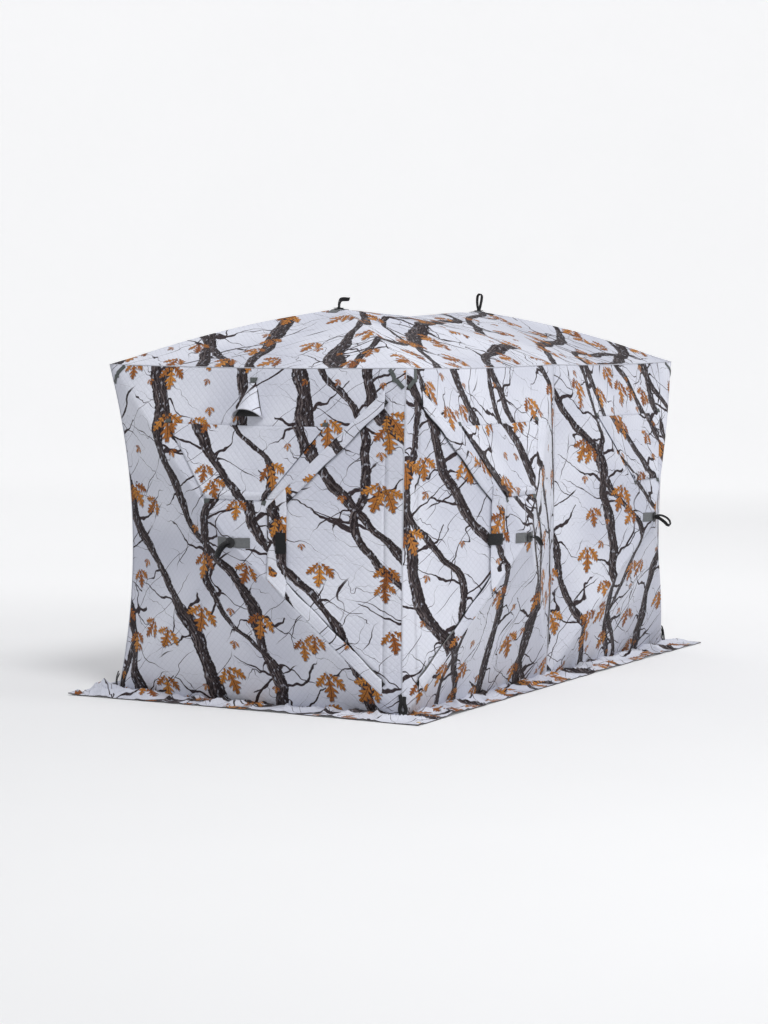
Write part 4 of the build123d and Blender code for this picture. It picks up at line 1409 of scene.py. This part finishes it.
def build_ground_straps(sx, sy, label):
    """The two webbing straps that hang from a wall seam and lie on the skirt."""
    foot = np.array(floor_corner(sx, sy))
    out = unit([sx, sy, 0])
    aside = np.array([-out[1], out[0], 0])
    pieces = []
    for shift, top, swing in ((-STRAP_ASIDE, STRAP_TOP, 0.004), (STRAP_ASIDE, STRAP_TOP - 0.012, -0.005)):
        line = [(away, turn, part * top) for away, turn, part in HANGING] + LYING
        path = []
        for away, turn, rise in line:
            path.append(foot + out * away + aside * (shift + swing * turn) + np.array([0, 0, rise]))
        section = strap_section(0.022, 0.0026)
        pieces.append(sweep("strap", smooth_path(path, 7), section, aside, [BLACK_WEBBING]))
    straps = join(f"ground_straps_{label}", pieces)
    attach(straps, "root")
    return straps


def build_corner_straps():
    for sx, lengthways in ((-1, "left"), (1, "right")):
        for sy, crossways in ((-1, "front"), (1, "back")):
            corner = np.array(eave_corner(sx, sy))
            build_eave_strap(PANELS[f"{lengthways}_end"], corner, np.array([0, -sy, 0]), crossways)
            build_eave_strap(PANELS[f"{crossways}_{lengthways}"], corner, np.array([-sx, 0, 0]), crossways)
            straps = build_ground_straps(sx, sy, f"{lengthways}_{crossways}")
            if (sx, sy) == (-1, -1):
                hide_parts("corner_webbing")


SKIRT_REACH = 0.200  # out from the foot of the walls
SKIRT_CLOTH = 0.003
SKIRT_ROWS = 22
SKIRT_COLUMNS = 190  # along a short side
EYELET_X = 1.900
EYELET_Y = 1.050
EYELETS = [(x, y) for x in (-EYELET_X, EYELET_X) for y in (-EYELET_Y, EYELET_Y)]
EYELETS += [(0, -EYELET_Y), (0, EYELET_Y)]
EYELET_PROFILE = [(0.0060, 0.0004), (0.0070, 0.0004), (0.0071, 0.0031), (0.0085, 0.0034), (0.0118, 0.0034)]
EYELET_PROFILE += [(0.0121, 0.0042), (0.0108, 0.0052), (0.0085, 0.0056), (0.0066, 0.0050), (0.0060, 0.0038)]


def skirt_edge():
    """The foot of the walls and the outer edge of the skirt, side by side, right round the blind."""
    inner, outer = [], []
    corners = [np.array([sx * FLOOR_X, sy * FLOOR_Y]) for sx, sy in ((-1, -1), (1, -1), (1, 1), (-1, 1))]
    for k in range(4):
        first, last = corners[k], corners[(k + 1) % 4]
        panels = 2 - k % 2  # two wall panels stand on a long side
        steps = SKIRT_COLUMNS * panels
        t = np.arange(steps) / steps
        side = unit(last - first)
        out = np.array([side[1], -side[0]])
        shape = 1 - np.abs(2 * ((panels * t) % 1) - 1) ** 2
        line = first + (last - first) * t[:, None]
        inner.append(line - out * (FLOOR_BOW * shape)[:, None])
        slack = 0.022 * np.sin(math.pi * t) ** 0.6
        spread = SKIRT_REACH * (2 * t - 1)
        outer.append(line + out * (SKIRT_REACH - slack)[:, None] + side * spread[:, None])
    return np.concatenate(inner), np.concatenate(outer)


def skirt_height(points, t):
    """Low folds, flat round the eyelets, thicker where the cloth is bunched at the far left corner."""
    flat = points * np.array([1, 1, 0])
    x, y = points[..., 0], points[..., 1]
    broad = waves(flat, 41, 2.4, 8)
    fine = waves(flat, 42, 6.5, 9)
    sharp = (1 - np.abs(waves(flat, 43, 3.4, 5))) ** 5
    height = 0.017 * np.clip(broad + 0.15, 0, 2) + 0.006 * np.clip(fine, 0, 2) + 0.026 * sharp
    height *= 0.35 + 0.65 * np.sin(math.pi * np.clip(t * 0.9 + 0.12, 0, 1))
    far_left = np.exp(-(((x + 1.93) / 0.20) ** 2 + ((y - 0.93) / 0.26) ** 2))
    bunch = 0.5 + 0.5 * np.sin(x * 46 + y * 61 + 5 * fine)
    height += far_left * (0.012 + 0.046 * bunch) * np.sin(math.pi * np.clip(t * 0.85 + 0.15, 0, 1))
    for eyelet_x, eyelet_y in EYELETS:
        height *= smooth((np.hypot(x - eyelet_x, y - eyelet_y) - 0.020) / 0.055)
    return height


def build_skirt():
    """The wide skirt on the ground, and the tape that binds its outer edge."""
    inner, outer = skirt_edge()
    t = np.linspace(0, 1, SKIRT_ROWS)[:, None]
    flat = inner[None] + (outer - inner)[None] * t[..., None]
    points = np.concatenate([flat, np.zeros(flat.shape[:2] + (1,))], axis=-1)
    edge_wave = waves(points, 47, 3.0, 6) * 0.007 * t**2
    outward = (outer - inner) / np.linalg.norm(outer - inner, axis=1)[:, None]
    points[..., :2] -= outward[None] * np.abs(edge_wave)[..., None]
    tuck = 0.010 * (1 - t) ** 3
    points[..., 2] = SKIRT_CLOTH + 0.0002 + skirt_height(points, t) + tuck
    faces = [quad[::-1] for quad in grid_faces(*points.shape[:2], closed=True)]
    flat_points = points.reshape(-1, 3)
    uvs = flat_points[:, :2] + np.array([4.3, 2.9])
    skirt = new_mesh("skirt_cloth", flat_points, faces, uvs, [CAMO, LINING])
    thicken(skirt, SKIRT_CLOTH, inner_material=1)
    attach(skirt, "root")
    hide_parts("skirt")
    hem = points[-1] - np.array([0, 0, SKIRT_CLOTH / 2])
    hem[:, 2] = np.maximum(hem[:, 2], 0.0028)
    binding = sweep("skirt_hem", hem, strap_section(0.0052, 0.0060), (0, 0, 1), [HEM_TAPE], closed=True)
    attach(binding, "root")


def build_eyelets():
    rings = [ring_lathe("eyelet", (x, y, 0), (0, 0, 1), EYELET_PROFILE, BRASS, 36) for x, y in EYELETS]
    eyelets = join("brass_eyelets", rings)
    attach(eyelets, "root")
    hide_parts("skirt_eyelets")


build_seams()
build_corner_straps()
build_skirt()
build_eyelets()


# Camera, light and floor

CAMERA_PLACE = Vector((-13.42, -7.058, 2.046))
CAMERA_HEADING = math.radians(61.638)
CAMERA_PITCH = math.radians(-4.167)
CAMERA_ROLL = math.radians(0.28)
CAMERA_LENS = 88.6
LAMP_TARGET = (0, 0, 1)
FLOOR_RADIUS = 18.0  # where the floor begins to curve up
FLOOR_CURVE = 12.0
FLOOR_TURNS = 72


def build_camera():
    ahead = Vector((math.sin(CAMERA_HEADING), math.cos(CAMERA_HEADING), 0))
    forward = ahead * math.cos(CAMERA_PITCH) + Vector((0, 0, math.sin(CAMERA_PITCH)))
    level = Vector((math.cos(CAMERA_HEADING), -math.sin(CAMERA_HEADING), 0))
    upward = level.cross(forward)
    right = level * math.cos(CAMERA_ROLL) + upward * math.sin(CAMERA_ROLL)
    up = upward * math.cos(CAMERA_ROLL) - level * math.sin(CAMERA_ROLL)
    data = bpy.data.cameras.new("camera")
    data.lens = CAMERA_LENS
    data.sensor_width = 36.0
    data.clip_end = 200.0
    camera = bpy.data.objects.new("camera", data)
    axes = Matrix((right, up, -forward)).transposed().to_4x4()
    camera.matrix_world = Matrix.Translation(CAMERA_PLACE) @ axes
    bpy.context.scene.collection.objects.link(camera)
    bpy.context.scene.camera = camera


def area_light(name, place, size, power):
    """A round lamp that shines at the blind."""
    data = bpy.data.lights.new(name, "AREA")
    data.shape = "DISK"
    data.size = size
    data.energy = power
    lamp = bpy.data.objects.new(name, data)
    lamp.location = place
    lamp.rotation_mode = "QUATERNION"
    lamp.rotation_quaternion = (Vector(LAMP_TARGET) - Vector(place)).to_track_quat("-Z", "Y")
    bpy.context.scene.collection.objects.link(lamp)


def build_stage():
    """A pale floor that curves up into a wall all round, lit from a soft sky and three lamps, and given a
    painted glow that grows towards the far side.
    """
    n = Nodes("floor")
    tone = n.noise(n.position(), 0.6, 2.0, dimensions="3D")
    n.set(Base_Color=n.mix(tone, (0.80, 0.80, 0.803, 1), (0.83, 0.83, 0.833, 1)), Roughness=0.95)
    x, y, _ = n.split(n.position())
    away = n.add(n.mul(x, 0.88), n.mul(y, 0.475))
    # painted light: the floor and its curved wall glow more the further they lie along the camera's line of
    # sight, filling in where the lamps fall off
    glow = n.add(n.ramp(away, -4.0, 6.0, 0.03, 0.28), n.ramp(away, 11.0, 19.0, 0.0, 0.11))
    n.set(Emission_Color=(1, 1, 1, 1), Emission_Strength=glow)
    profile = [(0.5, 0.0), (6.0, 0.0), (12.0, 0.0), (FLOOR_RADIUS, 0.0)]
    for angle in np.linspace(0, math.pi / 2, 13)[1:]:
        rise = FLOOR_CURVE - FLOOR_CURVE * math.cos(angle)
        profile.append((FLOOR_RADIUS + FLOOR_CURVE * math.sin(angle), rise))
    profile.append((FLOOR_RADIUS + FLOOR_CURVE, 16.0))
    turns = np.arange(FLOOR_TURNS) * 2 * math.pi / FLOOR_TURNS
    verts = []
    for radius, height in profile:
        verts += [(radius * math.cos(turn), radius * math.sin(turn), height) for turn in turns]
    faces = grid_faces(len(profile), FLOOR_TURNS, closed=True)
    faces.append(tuple(range(FLOOR_TURNS)))
    floor = new_mesh("floor", verts, faces, None, [n.material])
    world = bpy.data.worlds.new("studio")
    world.use_nodes = True
    sky = world.node_tree.nodes["Background"]
    sky.inputs["Color"].default_value = (0.96, 0.97, 1.0, 1)
    sky.inputs["Strength"].default_value = 0.50
    bpy.context.scene.world = world
    area_light("key", (-6.0, -5.5, 11), 4, 760)
    area_light("front", (0, -12, 8), 5, 300)
    area_light("back", (9, 10, 8), 7, 120)
    bpy.context.scene.view_settings.view_transform = "Standard"


build_camera()
build_stage()


def cut_area(panel):
    """The flat area of a panel's four triangles, without its window and doorway."""
    area = sum(half * reach for half, reach in (panel.gore_size(gore) for gore in range(4)))
    if panel.name in WINDOW_PANELS:
        half, reach = panel.gore_size(0)
        low, high = WINDOW_SHARES
        area -= WINDOW_HALF * half * reach * (high**2 - low**2)
    if panel.name in DOOR_PANELS:
        half, reach = panel.gore_size(3)
        area -= DOOR_CUT * half * reach * (DOOR_HINGE**2 - DOOR_TIP**2)
    return area


def cut_size(panel):
    """The width and length that the four triangles of a panel take side by side on the table."""
    width = panel.gore_size(1)[1] + panel.gore_size(3)[1]
    length = panel.gore_size(0)[1] + panel.gore_size(2)[1]
    return max(width, 2 * panel.gore_size(0)[0]), length


for name, panel in PANELS.items():
    cut_size(panel)
    cut_area(panel)
